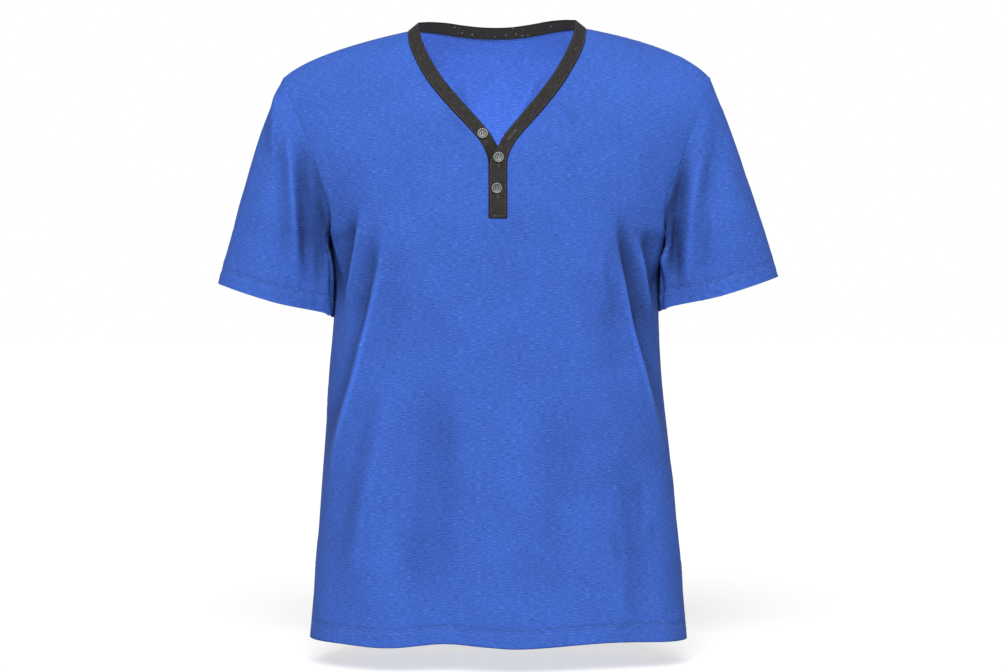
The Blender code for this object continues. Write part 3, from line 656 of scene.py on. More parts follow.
def sewn_heights(places, from_seam, from_hem):
    ripple = np.array([noise.noise(Vector(place) / PUCKER_SIZE) for place in places])
    total = -SEAM_DIP * bell(from_seam, SEAM_WIDTH)
    total += PUCKER * ripple * bell(from_seam, PUCKER_REACH)
    for row in NEEDLE_ROWS:
        total -= NEEDLE_DIP * bell(from_hem - row, NEEDLE_WIDTH)
    total += HEM_PUCKER * PUCKER * ripple * bell(from_hem - NEEDLE_ROWS[1], PUCKER_REACH)
    return total


print("rim points:", {name: len(neighbours(rim_loops(piece.data))) for name, piece in panels.items()})

# %% [markdown]
# ## Painted light and shade along the edges
#
# Light and shade are painted along the edges too: the body's armhole edge and the hem's folded edge
# are painted paler as a highlight, and the sleeve beside the armhole, the back's neck seam and the
# hem's needle rows darker as painted shade. Painting these by hand would take a picture, so they are
# worked out from each point's place and its distance from seam and hem.

# %% Painted light and shade along the edges
HEM_LINE, HEM_HIGHLIGHT, NEEDLE_SHADE = 0.0012, 0.20, 0.16  # width of the lines; the hem edge's painted highlight and the needle rows' painted shade
# painted highlight on the body's armhole edge; painted shade on the sleeve beside it and at the back's neck
# seam
ARMHOLE_LINE, ARMHOLE_HIGHLIGHT = 0.0018, 0.45
SLEEVE_REACH, SLEEVE_SHADE = 0.011, 1.0
NECK_LINE, NECK_SHADE = 0.002, 0.9
ARM_TOP, ARM_FOOT, ARM_SIDE = (-0.12, -0.08), (-0.33, 0.01), (0.16, 0.02)  # start, and stretch
NECK_SIDE, NECK_FOOT = (0.10, -0.01), (-0.07, 0.01)
SHADING_LIMITS = (-2, 0.8)


def past(value, start, over):
    """0 up to the start and 1 from the end of the stretch, which runs down where it is negative."""
    return ease((value - start) / over)


# Painted highlights on armhole and hem edges, painted shade on sleeves, back neck seam and needle rows.
def painted_edge_shading(name, places, from_seam, from_hem):
    x, z = np.abs(places[:, 0]), places[:, 2]
    low = past(z, *ARM_TOP)
    total = -NEEDLE_SHADE * sum(bell(from_hem - row, HEM_LINE) for row in NEEDLE_ROWS)
    total += HEM_HIGHLIGHT * bell(from_hem, HEM_LINE)
    if name.startswith("sleeve"):
        return total - SLEEVE_SHADE * low * bell(from_seam, SLEEVE_REACH)
    armhole = past(x, *ARM_SIDE) * low * past(z, *ARM_FOOT)
    neck = past(x, *NECK_SIDE) * past(z, *NECK_FOOT) * (name == "back")
    total = total + ARMHOLE_HIGHLIGHT * armhole * bell(from_seam, ARMHOLE_LINE)
    return total - NECK_SHADE * neck * bell(from_seam, NECK_LINE)


# the range of the painted light and shade, with the crests' wear
print("wear runs from", *SHADING_LIMITS)

# %% [markdown]
# ## Pressing the cloth
#
# All heights are added up and every point moves along its normal. At the seams the movement fades to
# nothing, so they stay closed. Solidify then gives the sheet the thickness of the jersey towards the
# inside, and more where the hem is turned up. Last, Decimate thins out the inner side, which is little
# seen, but not near a rim.

# %% Press and thicken
JERSEY, HEM_LAYERS = 0.0012, 0.0024  # thickness of the cloth, and where it is turned up
TURN_UP = 0.0235
STILL, SEWN_STILL = 0.006, 0.001  # from a seam, over which creases and sewing fade in
INSIDE_KEPT = 0.64  # share of all faces that stay when the inner side is thinned out
RIM_KEPT = 0.006  # from a rim, over which the inner side keeps all its faces

hems = {}


def mark_points(piece, group, points):
    """Puts the points in a group, which a modifier can be held to."""
    marked = piece.vertex_groups.new(name=group)
    marked.add([int(i) for i in points], 1.0, "REPLACE")
    return marked.name


def thicken(piece, from_hem, from_seam):
    thick = piece.modifiers.new("thickness", "SOLIDIFY")
    thick.thickness, thick.offset = HEM_LAYERS, -1
    thick.vertex_group = mark_points(piece, "turn_up", np.flatnonzero(from_hem < TURN_UP))
    thick.thickness_vertex_group = JERSEY / HEM_LAYERS
    thick.use_even_offset = False
    apply_modifiers(piece)
    unseen = np.flatnonzero((from_hem > RIM_KEPT) & (from_seam > RIM_KEPT)) + len(from_hem)
    inside = mark_points(piece, "inside", unseen)
    thin_out = piece.modifiers.new("thin_out", "DECIMATE")
    thin_out.ratio, thin_out.vertex_group = INSIDE_KEPT, inside
    apply_modifiers(piece)


def press(name, piece, area, seed):
    mesh = piece.data
    places, normals = coordinates(mesh, "co"), coordinates(mesh, "normal")
    hem, seam = hem_and_seam(name, mesh, places)
    from_hem, from_seam = distances(places, hem), distances(places, seam)
    free = ease(from_seam / STILL)
    # Painted light with the crests' wear: crests and edges paler, hollows, seams and needle rows darker as
    # shade.
    creased, wear_and_shading = crease_heights(places, normals)
    wear_and_shading = np.clip(wear_and_shading + painted_edge_shading(name, places, from_seam, from_hem), *SHADING_LIMITS)
    mesh.attributes.new("wear_and_shading", "FLOAT", "POINT").data.foreach_set("value", wear_and_shading)
    heights = (creased + swell_heights(places)) * free
    heights += wrinkle_heights(places, normals, area, seed) * free
    heights += sewn_heights(places, from_seam, from_hem) * ease(from_seam / SEWN_STILL)
    pressed = places + normals * heights[:, None]
    mesh.vertices.foreach_set("co", pressed.ravel())
    edge = chain([pair for pair in rim_loops(mesh) if hem.issuperset(pair)])
    tree = BVHTree.FromPolygons([Vector(place) for place in pressed],
                                [face.vertices[:] for face in mesh.polygons])
    hems[name] = (pressed[edge], tree)
    thicken(piece, from_hem, from_seam)
    print(piece.name, f"pressed: {heights.min() * 1000:.1f} to {heights.max() * 1000:.1f} mm,",
          len(piece.data.polygons), "faces")


for seed, (name, piece) in enumerate(panels.items(), start=11):
    press(name, piece, cuts[name][2], seed)

# %% [markdown]
# ## The rib band
#
# One strip of rib goes up the wearer's right of the neck, round the back and down the left, and its two
# ends lap as the placket, left over right. The CAD wall gives four points across the strip at every
# station. A smooth curve through them is swept with a rounded cross-section, because a folded strip has
# a round edge. Sweeping it by hand also gives exact coordinates along and across the strip, which the
# ribs and the stitching follow.

# %% The rib band
STATION_STEP = 0.0016
BAND_SWELL, BAND_SWELL_SIZE = 0.00022, 0.020


def rim_walk(start, first):
    """Points along the rim from one corner of a strip to the next."""
    line = [start, first]
    while len(line[-1].link_edges) > 2:
        ends = [edge.other_vert(line[-1]) for edge in line[-1].link_edges if edge.is_boundary]
        line.append(next(point for point in ends if point is not line[-2]))
    return line


def strip_rows(shape):
    """Rows of points across a strip of four-sided faces, from the end that lies further back."""
    corners = [point for point in shape.verts if len(point.link_edges) == 2]
    corners.sort(key=lambda point: -point.co.y)
    start = min(corners[:2], key=lambda point: point.co.x)
    rows = [min((rim_walk(start, edge.other_vert(start)) for edge in start.link_edges), key=len)]
    while True:
        known = set(sum(rows[-2:], []))
        beyond = [[edge.other_vert(point) for edge in point.link_edges if edge.other_vert(point) not in known]
                  for point in rows[-1]]
        if not all(beyond):
            return rows
        rows.append([found[0] for found in beyond])


def at_marks(marks, lengths, rows):
    """The rows in between, at these marks along the lengths."""
    return np.array([np.interp(marks, lengths, column) for column in rows.T]).T


def even_steps(line, step):
    """Resamples rows of points at even distances along their middle."""
    lengths = run_lengths(line[:, :, :3].mean(axis=1))
    marks = np.linspace(0, lengths[-1], round(lengths[-1] / step) + 1)
    return at_marks(marks, lengths, line.reshape(len(line), -1)).reshape(len(marks), 4, -1), marks


def through_four(share):
    """Weights of four evenly spaced points for a cubic through them, at a share of the way across."""
    t = np.atleast_1d(share) * 3
    return np.array([(1 - t) * (2 - t) * (3 - t) / 6, t * (2 - t) * (3 - t) / 2,
                     t * (t - 1) * (3 - t) / 2, t * (t - 1) * (t - 2) / 6]).T


band_skin = outer_skin("neck_band")
band_skin.normal_update()
rows = strip_rows(band_skin)
stations = smooth_line([np.array([[*point.co, *point.normal] for point in row]) for row in rows])
band_skin.free()
stations, BAND_MARKS = even_steps(stations, STATION_STEP)
BAND_LENGTH = BAND_MARKS[-1]
BAND_WIDTHS = np.linalg.norm(np.diff(stations[:, :, :3], axis=1), axis=2).sum(axis=1)


def band_swell(along):
    return BAND_SWELL * noise.noise(Vector((along / BAND_SWELL_SIZE, 0, 0)))


def on_band(along, across, depth=0.0):
    """A point of the strip and its normal: metres from its end, metres from the seam edge, metres into it."""
    station = at_marks(along, BAND_MARKS, stations.reshape(len(stations), -1))
    place = through_four(across / np.interp(along, BAND_MARKS, BAND_WIDTHS))[0] @ station.reshape(4, 6)
    normal = place[3:] / np.linalg.norm(place[3:])
    return place[:3] + normal * (band_swell(along) - depth), normal


narrow, wide = BAND_WIDTHS.min() * 1000, BAND_WIDTHS.max() * 1000
print(f"band: {BAND_LENGTH:.3f} m long, {narrow:.1f} to {wide:.1f} mm wide")

# %% [markdown]
# The strip is double round the neck and each lap of the placket is thinner. Its seam edge slips under
# the jersey and its free edge is a fold. Its two edges, its inner side and the lower layer where the
# upper one shades it are painted darker, as painted shade.

# %% Sweep the band
NECK_LAYERS, PLACKET_LAYERS = 0.0020, 0.0012  # thickness
LAYERS_CHANGE = (-0.155, 0.028)  # the height from which, and the stretch over which, it grows
ACROSS_STEPS, EDGE_STEPS = 12, 8
TUCK = 0.0006  # how far the seam edge slips under the jersey's
SEAM_ROUND = 0.15  # of its thickness, how round the seam edge is
LAP_TOP, LAP_SHADE = (-0.143, -0.02), 0.9  # where the upper layer's painted shadow on the lower one starts, and how dark it is
# painted shade along both edges of the strip
EDGE_LINE, EDGE_SHADE = 0.0013, 1.1
DEEP, DEEP_SHADE = 0.6, 0.6  # beyond this share of its thickness the strip's inner side is painted darker as shade


def cross_section(width, thick):
    """The strip's closed outline as (across, depth), from the seam edge over the outside to the free edge."""
    radius, sharp = thick / 2, thick * SEAM_ROUND
    flat = np.linspace(sharp - TUCK, width - radius, ACROSS_STEPS)
    turn = np.linspace(math.pi / 2, -math.pi / 2, EDGE_STEPS + 2)[1:-1]
    free = np.column_stack([width - radius + radius * np.cos(turn), radius - radius * np.sin(turn)])
    seam = np.column_stack([sharp - TUCK - sharp * np.cos(turn), radius + radius * np.sin(turn)])
    outside, inside = np.column_stack([flat, 0 * flat]), np.column_stack([flat[::-1], 0 * flat + thick])
    return np.concatenate([outside, free, inside, seam])


def tube_faces(count, around, start=0):
    """The faces of a closed tube: four-sided ones from ring to ring of its points, and one at each end."""
    faces, last = [], start + (count - 1) * around
    for ring in range(start, last, around):
        for k in range(around):
            n = (k + 1) % around
            faces.append((ring + k, ring + n, ring + around + n, ring + around + k))
    return faces + [tuple(range(start, start + around))[::-1], tuple(range(last, last + around))]


def band_points():
    """The strip's points, their places on the cut and their painted shade, ring by ring."""
    places, flat, wear_and_shading = [], [], []
    for station, along, width in zip(stations, BAND_MARKS, BAND_WIDTHS):
        height = station[0, 2]
        thick = PLACKET_LAYERS + (NECK_LAYERS - PLACKET_LAYERS) * past(height, *LAYERS_CHANGE)
        outline = cross_section(width, thick)
        across, depth = outline.T
        blend = through_four(across / width) @ station
        normals = blend[:, 3:] / np.linalg.norm(blend[:, 3:], axis=1)[:, None]
        places.append(blend[:, :3] + normals * (band_swell(along) - depth)[:, None])
        flat.append(np.column_stack([run_lengths(outline), np.full(len(outline), along)]))
        # Painted shade: both edges, the inner side and the lower lap under the upper one are darker.
        edges = bell(across, EDGE_LINE) + bell(width - across, EDGE_LINE)
        shaded = LAP_SHADE * past(height, *LAP_TOP) * (along < BAND_LENGTH / 2)
        wear_and_shading.append(-EDGE_SHADE * edges - DEEP_SHADE * (depth > DEEP * depth.max()) - shaded)
    return places, np.concatenate(flat), np.concatenate(wear_and_shading)


def band_mesh():
    places, flat, wear_and_shading = band_points()
    mesh = bpy.data.meshes.new("rib_band")
    mesh.from_pydata(np.concatenate(places).tolist(), [], tube_faces(len(places), len(places[0])))
    mesh.attributes.new("wear_and_shading", "FLOAT", "POINT").data.foreach_set("value", wear_and_shading)
    uv_map = mesh.uv_layers.new(name="cut")
    for loop, target in zip(mesh.loops, uv_map.uv):
        target.vector = flat[loop.vertex_index]
    shape = bmesh.new()
    shape.from_mesh(mesh)
    bmesh.ops.recalc_face_normals(shape, faces=shape.faces)
    shape.to_mesh(mesh)
    shape.free()
    mesh.shade_smooth()
    return mesh


band = put_in_scene("rib_band", band_mesh())
print("band:", len(band.data.polygons), "faces")

# %% [markdown]
# ## Stitches
#
# A stitch is a short piece of thread that comes up out of the cloth and dives back in. Hundreds of them
# would be slow as separate objects, so each seam's stitches are joined in one mesh. The hems of body
# and sleeves are sewn with two needles, which leaves two lines of stitches on the outside. The upper
# line's thread is painted darker than the lower one's, as painted shade.

# %% Stitches
THREAD, HEM_THREAD = 0.00022, 0.00030  # radius
STITCH, STITCH_GAP = 0.0027, 0.0008
SHARES = np.array([0.0, 0.18, 0.5, 0.82, 1.0])  # of a stitch's length
ARCH = np.array([-1.2, 0.3, 0.7, 0.3, -1.2])  # its height at those, in thread radii
POINTED = 0.4  # radius at a thread's ends
SIDEWAYS = np.array([0.31, -0.90, 0.30])  # no thread runs this way
SIDES = 6


def thread_object(name, lines, radius=THREAD):
    """Round threads along the lines, each thinner at its ends, joined as one mesh."""
    places, faces = [], []
    turn = np.arange(SIDES) * 2 * math.pi / SIDES
    for line in lines:
        way = np.gradient(line, axis=0)
        side = np.cross(way, SIDEWAYS)
        side /= np.linalg.norm(side, axis=1)[:, None]
        lift = np.cross(side, way)
        lift /= np.linalg.norm(lift, axis=1)[:, None]
        faces += tube_faces(len(line), SIDES, len(places))
        for i, point in enumerate(line):
            thick = radius * (POINTED if i in (0, len(line) - 1) else 1)
            ring = np.outer(np.cos(turn), side[i]) + np.outer(np.sin(turn), lift[i])
            places += (point + thick * ring).tolist()
    mesh = bpy.data.meshes.new(name)
    mesh.from_pydata(places, [], faces)
    mesh.shade_smooth()
    print(name, "threads:", len(lines))
    return put_in_scene(name, mesh)


def stitches(path, normals):
    """Cuts a path into separate stitches."""
    lengths = run_lengths(path)
    found = []
    for start in np.arange(0, lengths[-1] - STITCH, STITCH + STITCH_GAP):
        at = start + SHARES * STITCH
        lift = at_marks(at, lengths, normals) * (ARCH * THREAD)[:, None]
        found.append(at_marks(at, lengths, path) + lift)
    return found


def row_above(edge, tree, rise):
    """The line that runs this far up the cloth from its edge, with the cloth's normals."""
    ways = np.gradient(edge, axis=0)
    path, normals = [], []
    for place, way in zip(edge, ways):
        near, normal, _, _ = tree.find_nearest(Vector(place))
        up = normal.cross(Vector(way)).normalized()
        up *= math.copysign(1, up.z)
        spot, normal, _, _ = tree.find_nearest(near + up * rise)
        path.append(spot)
        normals.append(normal)
    return np.array(path), np.array(normals)


# the upper needle row's thread is the copy painted darker as shade
hem_rows = {"light": [], "painted_shade": []}
for name, (edge, tree) in hems.items():
    for shade, rise in zip(hem_rows, NEEDLE_ROWS):
        sewn = stitches(*row_above(edge, tree, rise))
        hem_rows[shade].append(thread_object(f"hem_{name}_{shade}", sewn, HEM_THREAD))

# %% [markdown]
# The placket and the band are stitched down close to their edges. A buttonhole is a slit between two
# rows of dense short threads with a bar across each end; the slit itself is a near-black thread laid
# along it, painted shade for the gap. The top button is open, so its hole shows whole on the upper
# layer; the other two holes only peek out below their buttons.

# %% Topstitching and buttonholes
FROM_EDGE = 0.0015
CROSSING_Z = -0.146  # below it the wearer's right of the band lies under the left
HOLES = [(-0.1364, 0.0145), (-0.1663, 0.0155), (-0.2032, 0.0160)]  # height of the middle, and length
SATIN_STEP, SATIN_LIFT = 0.00046, 0.0003
SATIN = (0.00025, 0.0008, 0.00135)  # its places, out from the slit
BAR, BAR_THREADS, BAR_STEP, BAR_LIFT = 0.0012, 3, 0.0003, 0.0004  # half width of the bar tack
SATIN_THREAD, SLIT_SHADOW_THREAD = 0.00024, 0.00030  # radius
SLIT_SHADOW_DEPTH, SLIT_SHADOW_REACH = 0.00005, 0.45  # of the hole's length, each way from its middle
ROW_STEP = 0.002
FOOT = 0.0022  # from the end of the band to its last row
FINE_STEPS = 12


def sew(spots):
    """Stitches along spots, each a place and its normal."""
    return stitches(*map(np.array, zip(*spots)))


def band_row(start, stop, across):
    """A line of stitches along the strip, this far from the seam edge or, if negative, from the free one."""
    spots = []
    for along in np.arange(start, stop, ROW_STEP):
        width = np.interp(along, BAND_MARKS, BAND_WIDTHS)
        spots.append(on_band(along, across if across > 0 else width + across))
    return sew(spots)


def along_at(height, left):
    """How far along the strip it is at this height, on the wearer's left or right."""
    half = (BAND_MARKS > BAND_LENGTH / 2) == left
    return BAND_MARKS[half][np.abs(stations[half, :, 2].mean(axis=1) - height).argmin()]


def short_thread(along, places, lift):
    """A thread over three places across the strip, raised at its middle."""
    return np.array([on_band(along, across, -up)[0] for across, up in zip(places, (0.0, lift, 0.0))])


def buttonhole(height, length):
    middle, half = along_at(height, True), length / 2
    across = np.interp(middle, BAND_MARKS, BAND_WIDTHS) / 2
    satin = []
    for along in np.arange(middle - half, middle + half, SATIN_STEP):
        for side in (-1, 1):
            satin.append(short_thread(along, [across + side * out for out in SATIN], SATIN_LIFT))
    for along in (middle - half, middle + half):
        for k in range(BAR_THREADS):
            satin.append(short_thread(along + BAR_STEP * k, [across - BAR, across, across + BAR], BAR_LIFT))
    # the slit's painted shade: a near-black thread along its middle
    ends = middle - SLIT_SHADOW_REACH * length, middle + SLIT_SHADOW_REACH * length
    slit = [on_band(along, across, SLIT_SHADOW_DEPTH)[0] for along in np.linspace(*ends, FINE_STEPS)]
    return satin, np.array(slit)


covered = along_at(CROSSING_Z, False)
foot = BAND_LENGTH - FOOT
lines = band_row(covered, foot, FROM_EDGE) + band_row(covered, foot, -FROM_EDGE)
lines += sew([on_band(foot, out) for out in np.linspace(FROM_EDGE, BAND_WIDTHS[-1] - FROM_EDGE, FINE_STEPS)])
topstitching = thread_object("band_topstitching", lines)
holes = [buttonhole(*hole) for hole in HOLES]
buttonholes = thread_object("buttonhole_threads", sum((satin for satin, _ in holes), []), SATIN_THREAD)
slit_shadows = thread_object("buttonhole_slit_shadows", [slit for _, slit in holes], SLIT_SHADOW_THREAD)

# %% [markdown]
# ## Buttons
#
# A button is turned: a profile from its middle to its rim, spun round. Four holes are drilled with
# booleans, and its thread runs through them in two strands. One mesh serves all three, placed from the
# CAD buttons' own points: the axis of a disc is the direction in which its points spread least.

# %% Buttons
PROFILE = [(0.0, 0.00130), (0.0034, 0.00134), (0.0040, 0.00142), (0.0043, 0.00165), (0.0046, 0.00205),
           (0.0050, 0.00232), (0.0055, 0.00240), (0.0060, 0.00222), (0.0063, 0.00180), (0.0064, 0.00125),
           (0.0063, 0.00070), (0.0059, 0.00022), (0.0050, 0.0), (0.0, 0.0)]  # radius and height, top first
TURNS, DRILL_SIDES, DRILL_DEPTH = 72, 24, 0.01
HOLE_RADIUS, HOLE_OFF = 0.00075, 0.0014
SHARP = math.radians(35)
# Place as a share of HOLE_OFF, and height.
STRAND = [(-1, 0.0006), (-0.85, 0.0015), (0, 0.0018), (0.85, 0.0015), (1, 0.0006)]
STRAND_PLACES = (-0.0003, 0.0, 0.0003)
STRAND_THREAD = 0.00020  # radius


def turned_disc():
    shape = bmesh.new()
    rings = []
    for radius, height in PROFILE:
        if radius == 0:
            rings.append([shape.verts.new((0, 0, height))] * TURNS)
            continue
        rings.append([shape.verts.new((radius * math.cos(a), radius * math.sin(a), height))
                      for a in np.arange(TURNS) * 2 * math.pi / TURNS])
    for upper, lower in zip(rings, rings[1:]):
        for i in range(TURNS):
            j = (i + 1) % TURNS
            shape.faces.new(list(dict.fromkeys([upper[i], lower[i], lower[j], upper[j]])))
    bmesh.ops.recalc_face_normals(shape, faces=shape.faces)
    return as_object("button_blank", shape)


def drilled_button():
    disc, drills = turned_disc(), []
    for x in (-HOLE_OFF, HOLE_OFF):
        for y in (-HOLE_OFF, HOLE_OFF):
            bpy.ops.mesh.primitive_cylinder_add(vertices=DRILL_SIDES, radius=HOLE_RADIUS, depth=DRILL_DEPTH,
                                                location=(x, y, 0))
            drills.append(bpy.context.object)
            cut = disc.modifiers.new("hole", "BOOLEAN")
            cut.operation, cut.solver, cut.object = "DIFFERENCE", "EXACT", drills[-1]
    apply_modifiers(disc)
    for drill in drills:
        bpy.data.objects.remove(drill)
    mesh = disc.data
    bpy.data.objects.remove(disc)
    mesh.set_sharp_from_angle(angle=SHARP)
    return mesh


def button_place(name):
    """The matrix of a CAD button: the middle of its back, Z out of the shirt and Y up the front."""
    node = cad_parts[name]
    points = np.array([node.matrix_world @ vertex.co for vertex in node.data.vertices])
    middle = (points.min(axis=0) + points.max(axis=0)) / 2
    out = Vector(np.linalg.svd(points - points.mean(axis=0), full_matrices=False)[2][2])
    out *= -math.copysign(1, out.y)
    back = Vector(middle) + out * float(((points - middle) @ np.array(out)).min())
    up = (Vector((0, 0, 1)) - out * out.z).normalized()
    return Matrix.Translation(back) @ Matrix((up.cross(out), up, out)).transposed().to_4x4()


button_mesh = drilled_button()
buttons, sewn_on = {}, []
for name in ("button_top", "button_middle", "button_bottom"):
    place = button_place(name)
    buttons[name] = put_in_scene("turned_" + name, button_mesh)
    buttons[name].matrix_world = place
    for x in (-HOLE_OFF, HOLE_OFF):
        for off in STRAND_PLACES:
            strand = [Vector((x + off, share * HOLE_OFF, height)) for share, height in STRAND]
            sewn_on.append(np.array([place @ point for point in strand]))
button_threads = thread_object("button_threads", sewn_on, STRAND_THREAD)
print("button faces:", len(button_mesh.polygons))

# %% [markdown]
# ## Lint
#
# A few pale fibres cling to the dark rib inside the back of the neck. Each is found by looking from the
# camera through a place in the picture's plane.

# %% Lint
LINT = [(-0.0512, 0.0037), (-0.0427, -0.0037), (-0.0305, -0.0055), (-0.0024, -0.0085), (0.0110, -0.0061),
        (0.0195, 0.0024), (0.0232, -0.0049), (0.0305, -0.0073), (0.0378, -0.0061), (0.0659, 0.0049)]
FIBRE, FIBRE_THREAD = 0.0009, 0.00016  # half its length, and its radius
FIBRE_TURN, FIBRE_BOW, FIBRE_LIFT = 0.9, 0.5, 0.0002  # radians; of half its length; off the cloth
FIBRE_PLACES = (-1, -0.4, 0.3, 1)

band_tree = BVHTree.FromObject(band, bpy.context.evaluated_depsgraph_get())
fibres = []
for k, (x, z) in enumerate(LINT):
    toward = (Vector((x, 0, z)) - Vector(CAMERA_PLACE)).normalized()
    spot, normal, _, _ = band_tree.ray_cast(Vector(CAMERA_PLACE), toward)
    if spot is None:
        continue
    normal *= -math.copysign(1, normal.dot(toward))
    turn = FIBRE_TURN * math.sin(5 * k + 1)
    way = Vector((math.cos(turn), 0, math.sin(turn)))
    way = (way - normal * way.dot(normal)).normalized()
    bow = normal.cross(way) * FIBRE * FIBRE_BOW
    fibres.append(np.array([spot + way * FIBRE * t + bow * (1 - t * t) + normal * FIBRE_LIFT
                            for t in FIBRE_PLACES]))
lint = thread_object("lint", fibres, FIBRE_THREAD)

# %% [markdown]
# ## Materials
#
# Melange yarn is spun from fibres of several shades, so knitted cloth shows short streaks along its
# courses. On the flat cut these are a noise stretched along U. The knit is far finer than the mesh and
# only a bump: wales run up the cut, a wave across them, and loops a shorter wave along them. The rib's
# ribs run along the strip. Patches of bent ripples are the creases that washing leaves. The attribute
# "wear_and_shading" then paints light and shade: crests and edges paler, partly wear and partly painted
# highlight, and hollows and edges darker as painted shade.

# %% The knits
JERSEY_SHADES = [(0.29, (0.0070, 0.0240, 0.140)), (0.44, (0.0140, 0.0430, 0.190)),
                 (0.57, (0.0162, 0.0480, 0.208)), (0.76, (0.0430, 0.0980, 0.315))]
RIB_SHADES = [(0.28, (0.0038, 0.0031, 0.0032)), (0.44, (0.0093, 0.0078, 0.0076)),
              (0.57, (0.0100, 0.0102, 0.0094)), (0.74, (0.0420, 0.0360, 0.0330))]
FLECK_SHADES = [(0.25, (0.62,) * 3), (0.5, (1.0,) * 3), (0.8, (1.5,) * 3)]
MOTTLE_SHADES = [(0.25, (0.90,) * 3), (0.75, (1.10,) * 3)]
KNIT_DEPTH, FUZZ, FUZZ_DEPTH = 0.0002, 0.30, 0.0004
RIPPLE_PITCH, RIPPLE_BEND, RIPPLE_DEPTH = 0.0034, 9.0, 0.0010
PATCH, PATCH_SHADES = (0.016, 0.010), [(0.50, (0,) * 3), (0.68, (1,) * 3)]  # where the ripples are
SHADING_BASE = 2.2  # a point's colour is multiplied by this to the power of its painted light and wear
WAVE_PERIOD = 2 * math.pi / 20  # of Wave Texture at scale 1, in its own units
KNIT_ROUGH, KNIT_SHINE, SHEEN, SHEEN_ROUGH = 0.92, 0.15, 0.06, 0.5


def grain(tree, flat, across, along, detail=3.0):
    """Noise on the cut, with grains this many metres across and along."""
    placed = shader_node(tree, "Mapping", {"Vector": flat, "Scale": (1 / across, 1 / along, 1)})
    settings = {"Vector": placed.outputs[0], "Scale": 1.0, "Detail": detail, "Roughness": 0.6}
    return shader_node(tree, "TexNoise", settings).outputs[0]


def shades(tree, value, stops):
    ramp = shader_node(tree, "ValToRGB", {"Fac": value})
    elements = ramp.color_ramp.elements
    while len(elements) < len(stops):
        elements.new(1.0)
    for element, (position, colour) in zip(elements, stops):
        element.position, element.color = position, (*colour, 1)
    return ramp.outputs["Color"]


def product(tree, colour, *factors):
    """The colour multiplied by each factor."""
    for factor in factors:
        colour = shader_node(tree, "Mix", {0: 1.0, 6: colour, 7: factor}, data_type="RGBA",
                             blend_type="MULTIPLY").outputs[2]
    return colour


def calculated(tree, operation, a, b):
    return shader_node(tree, "Math", {0: a, 1: b}, operation=operation).outputs[0]


def bumped(tree, height, strength, depth, under=None):
    inputs = {"Height": height, "Strength": strength, "Distance": depth}
    return shader_node(tree, "Bump", inputs | ({"Normal": under} if under else {})).outputs[0]


def ribs(tree, flat, pitch, direction, bend=0.6):
    """A wave of this pitch in metres over the cut."""
    settings = {"Vector": flat, "Scale": WAVE_PERIOD / pitch, "Distortion": bend, "Detail": 1.0,
                "Detail Scale": 0.4}
    return shader_node(tree, "TexWave", settings, bands_direction=direction).outputs["Fac"]


def knitted(name, stops, streak, fleck, mottle, pitch, bump, ripple):
    """A melange knit: streak, fleck and mottle are (across, along) grains of the cut, pitch that of wales and
    loops, bump and ripple how strong the knit and the ripples are."""
    surface = {"Specular IOR Level": KNIT_SHINE, "Sheen Weight": SHEEN, "Sheen Roughness": SHEEN_ROUGH}
    made = plain(name, (0, 0, 0), KNIT_ROUGH, surface | {"Sheen Tint": (*stops[-1][1], 1)})
    tree = made.node_tree
    flat = shader_node(tree, "UVMap", uv_map="cut").outputs[0]
    streaks = grain(tree, flat, *streak)
    # the painted light and shade, with the crests' wear, read from the cloth's points
    wear_and_shading = shader_node(tree, "Attribute", attribute_name="wear_and_shading").outputs["Fac"]
    flecks, mottled = grain(tree, flat, *fleck), grain(tree, flat, *mottle)
    colour = product(tree, shades(tree, streaks, stops), shades(tree, flecks, FLECK_SHADES),
                     shades(tree, mottled, MOTTLE_SHADES), calculated(tree, "POWER", SHADING_BASE, wear_and_shading))
    loops = calculated(tree, "MULTIPLY", ribs(tree, flat, pitch[0], "X"), ribs(tree, flat, pitch[1], "Y"))
    normal = bumped(tree, loops, bump, KNIT_DEPTH)
    normal = bumped(tree, streaks, FUZZ, FUZZ_DEPTH, normal)
    patches = shades(tree, grain(tree, flat, *PATCH), PATCH_SHADES)
    ripples = calculated(tree, "MULTIPLY", ribs(tree, flat, RIPPLE_PITCH, "Y", RIPPLE_BEND), patches)
    normal = bumped(tree, ripples, ripple, RIPPLE_DEPTH, normal)
    shader = tree.nodes["Principled BSDF"]
    tree.links.new(colour, shader.inputs["Base Color"])
    tree.links.new(normal, shader.inputs["Normal"])
    return made


JERSEY_LOOK = knitted("blue_melange", JERSEY_SHADES, streak=(0.0070, 0.0009), fleck=(0.0018, 0.0008),
                      mottle=(0.07, 0.07), pitch=(0.00085, 0.00065), bump=0.35, ripple=0.35)
RIB_LOOK = knitted("charcoal_melange_rib", RIB_SHADES, streak=(0.0009, 0.0075), fleck=(0.0006, 0.0016),
                   mottle=(0.05, 0.05), pitch=(0.00115, 0.0008), bump=0.6, ripple=0.1)
print("knits:", JERSEY_LOOK.name, RIB_LOOK.name)

# %% [markdown]
# Thread, lint and buttons are too small to need a texture, so each has one plain colour. The slit's
# near-black is painted shade. The button's rim is paler and shinier than its sunk middle.

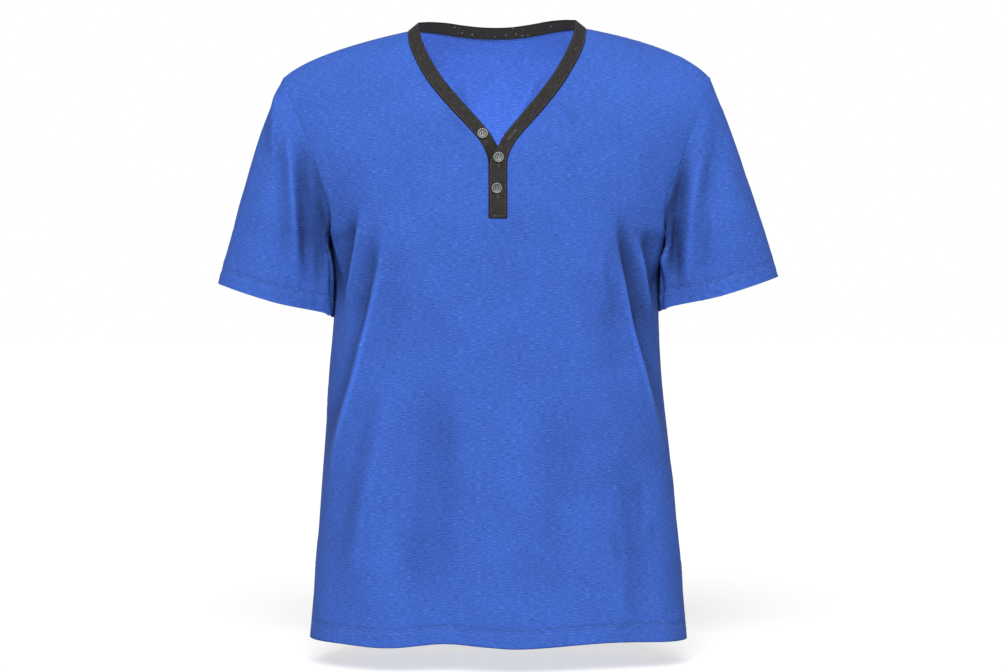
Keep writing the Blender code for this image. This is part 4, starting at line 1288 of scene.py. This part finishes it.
# %% Threads and buttons
# one hem thread in two copies: the second is painted darker, as painted shade
HEM_THREADS = {"light": plain("light_blue_thread", (0.032, 0.080, 0.280), 0.6),
               "painted_shade": plain("shaded_blue_thread", (0.010, 0.029, 0.130), 0.6)}
RIB_THREAD = plain("grey_thread", (0.036, 0.034, 0.033), 0.6)
BUTTON_THREAD = plain("black_thread", (0.010, 0.010, 0.011), 0.6)
# painted shade for the buttonhole's gap
SLIT_SHADOW_LOOK = plain("slit", (0.004, 0.004, 0.004), 0.9)
LINT_LOOK = plain("lint_white", (0.35, 0.34, 0.32), 0.8)
BUTTON_RIM = plain("button_rim", (0.045, 0.043, 0.045), 0.42)
BUTTON_WELL = plain("button_well", (0.010, 0.0095, 0.0105), 0.5)
WELL, WELL_ABOVE = 0.0042, 0.0005  # radius of the sunk middle, and the height above which a face is in it


def finish_with(look, *pieces):
    for piece in pieces:
        piece.data.materials.clear()
        piece.data.materials.append(look)


finish_with(JERSEY_LOOK, *panels.values())
for shade, pieces in hem_rows.items():
    finish_with(HEM_THREADS[shade], *pieces)
finish_with(RIB_LOOK, band)
finish_with(RIB_THREAD, topstitching, buttonholes)
finish_with(BUTTON_THREAD, button_threads)
finish_with(SLIT_SHADOW_LOOK, slit_shadows)
finish_with(LINT_LOOK, lint)
button_mesh.materials.append(BUTTON_RIM)
button_mesh.materials.append(BUTTON_WELL)
for polygon in button_mesh.polygons:
    in_well = math.hypot(*polygon.center[:2]) < WELL and polygon.center.z > WELL_ABOVE
    polygon.material_index = int(in_well)
print("materials:", len(bpy.data.materials))

# %% [markdown]
# ## Attaching the pieces
#
# Every piece rides on the shirt's one body. The cloth and the buttons take the place of the CAD
# solids, which are hidden.

# %% Attaching the pieces
for name, piece in panels.items():
    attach(piece, "root")
    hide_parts(name)
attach(band, "root")
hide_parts("neck_band")
for name, piece in buttons.items():
    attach(piece, "root")
    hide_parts(name)
for slot, pieces in (("jersey", hem_rows["light"] + hem_rows["painted_shade"]),
                     ("rib", (topstitching, buttonholes, slit_shadows, lint)), ("button", (button_threads,))):
    for piece in pieces:
        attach(piece, "root")
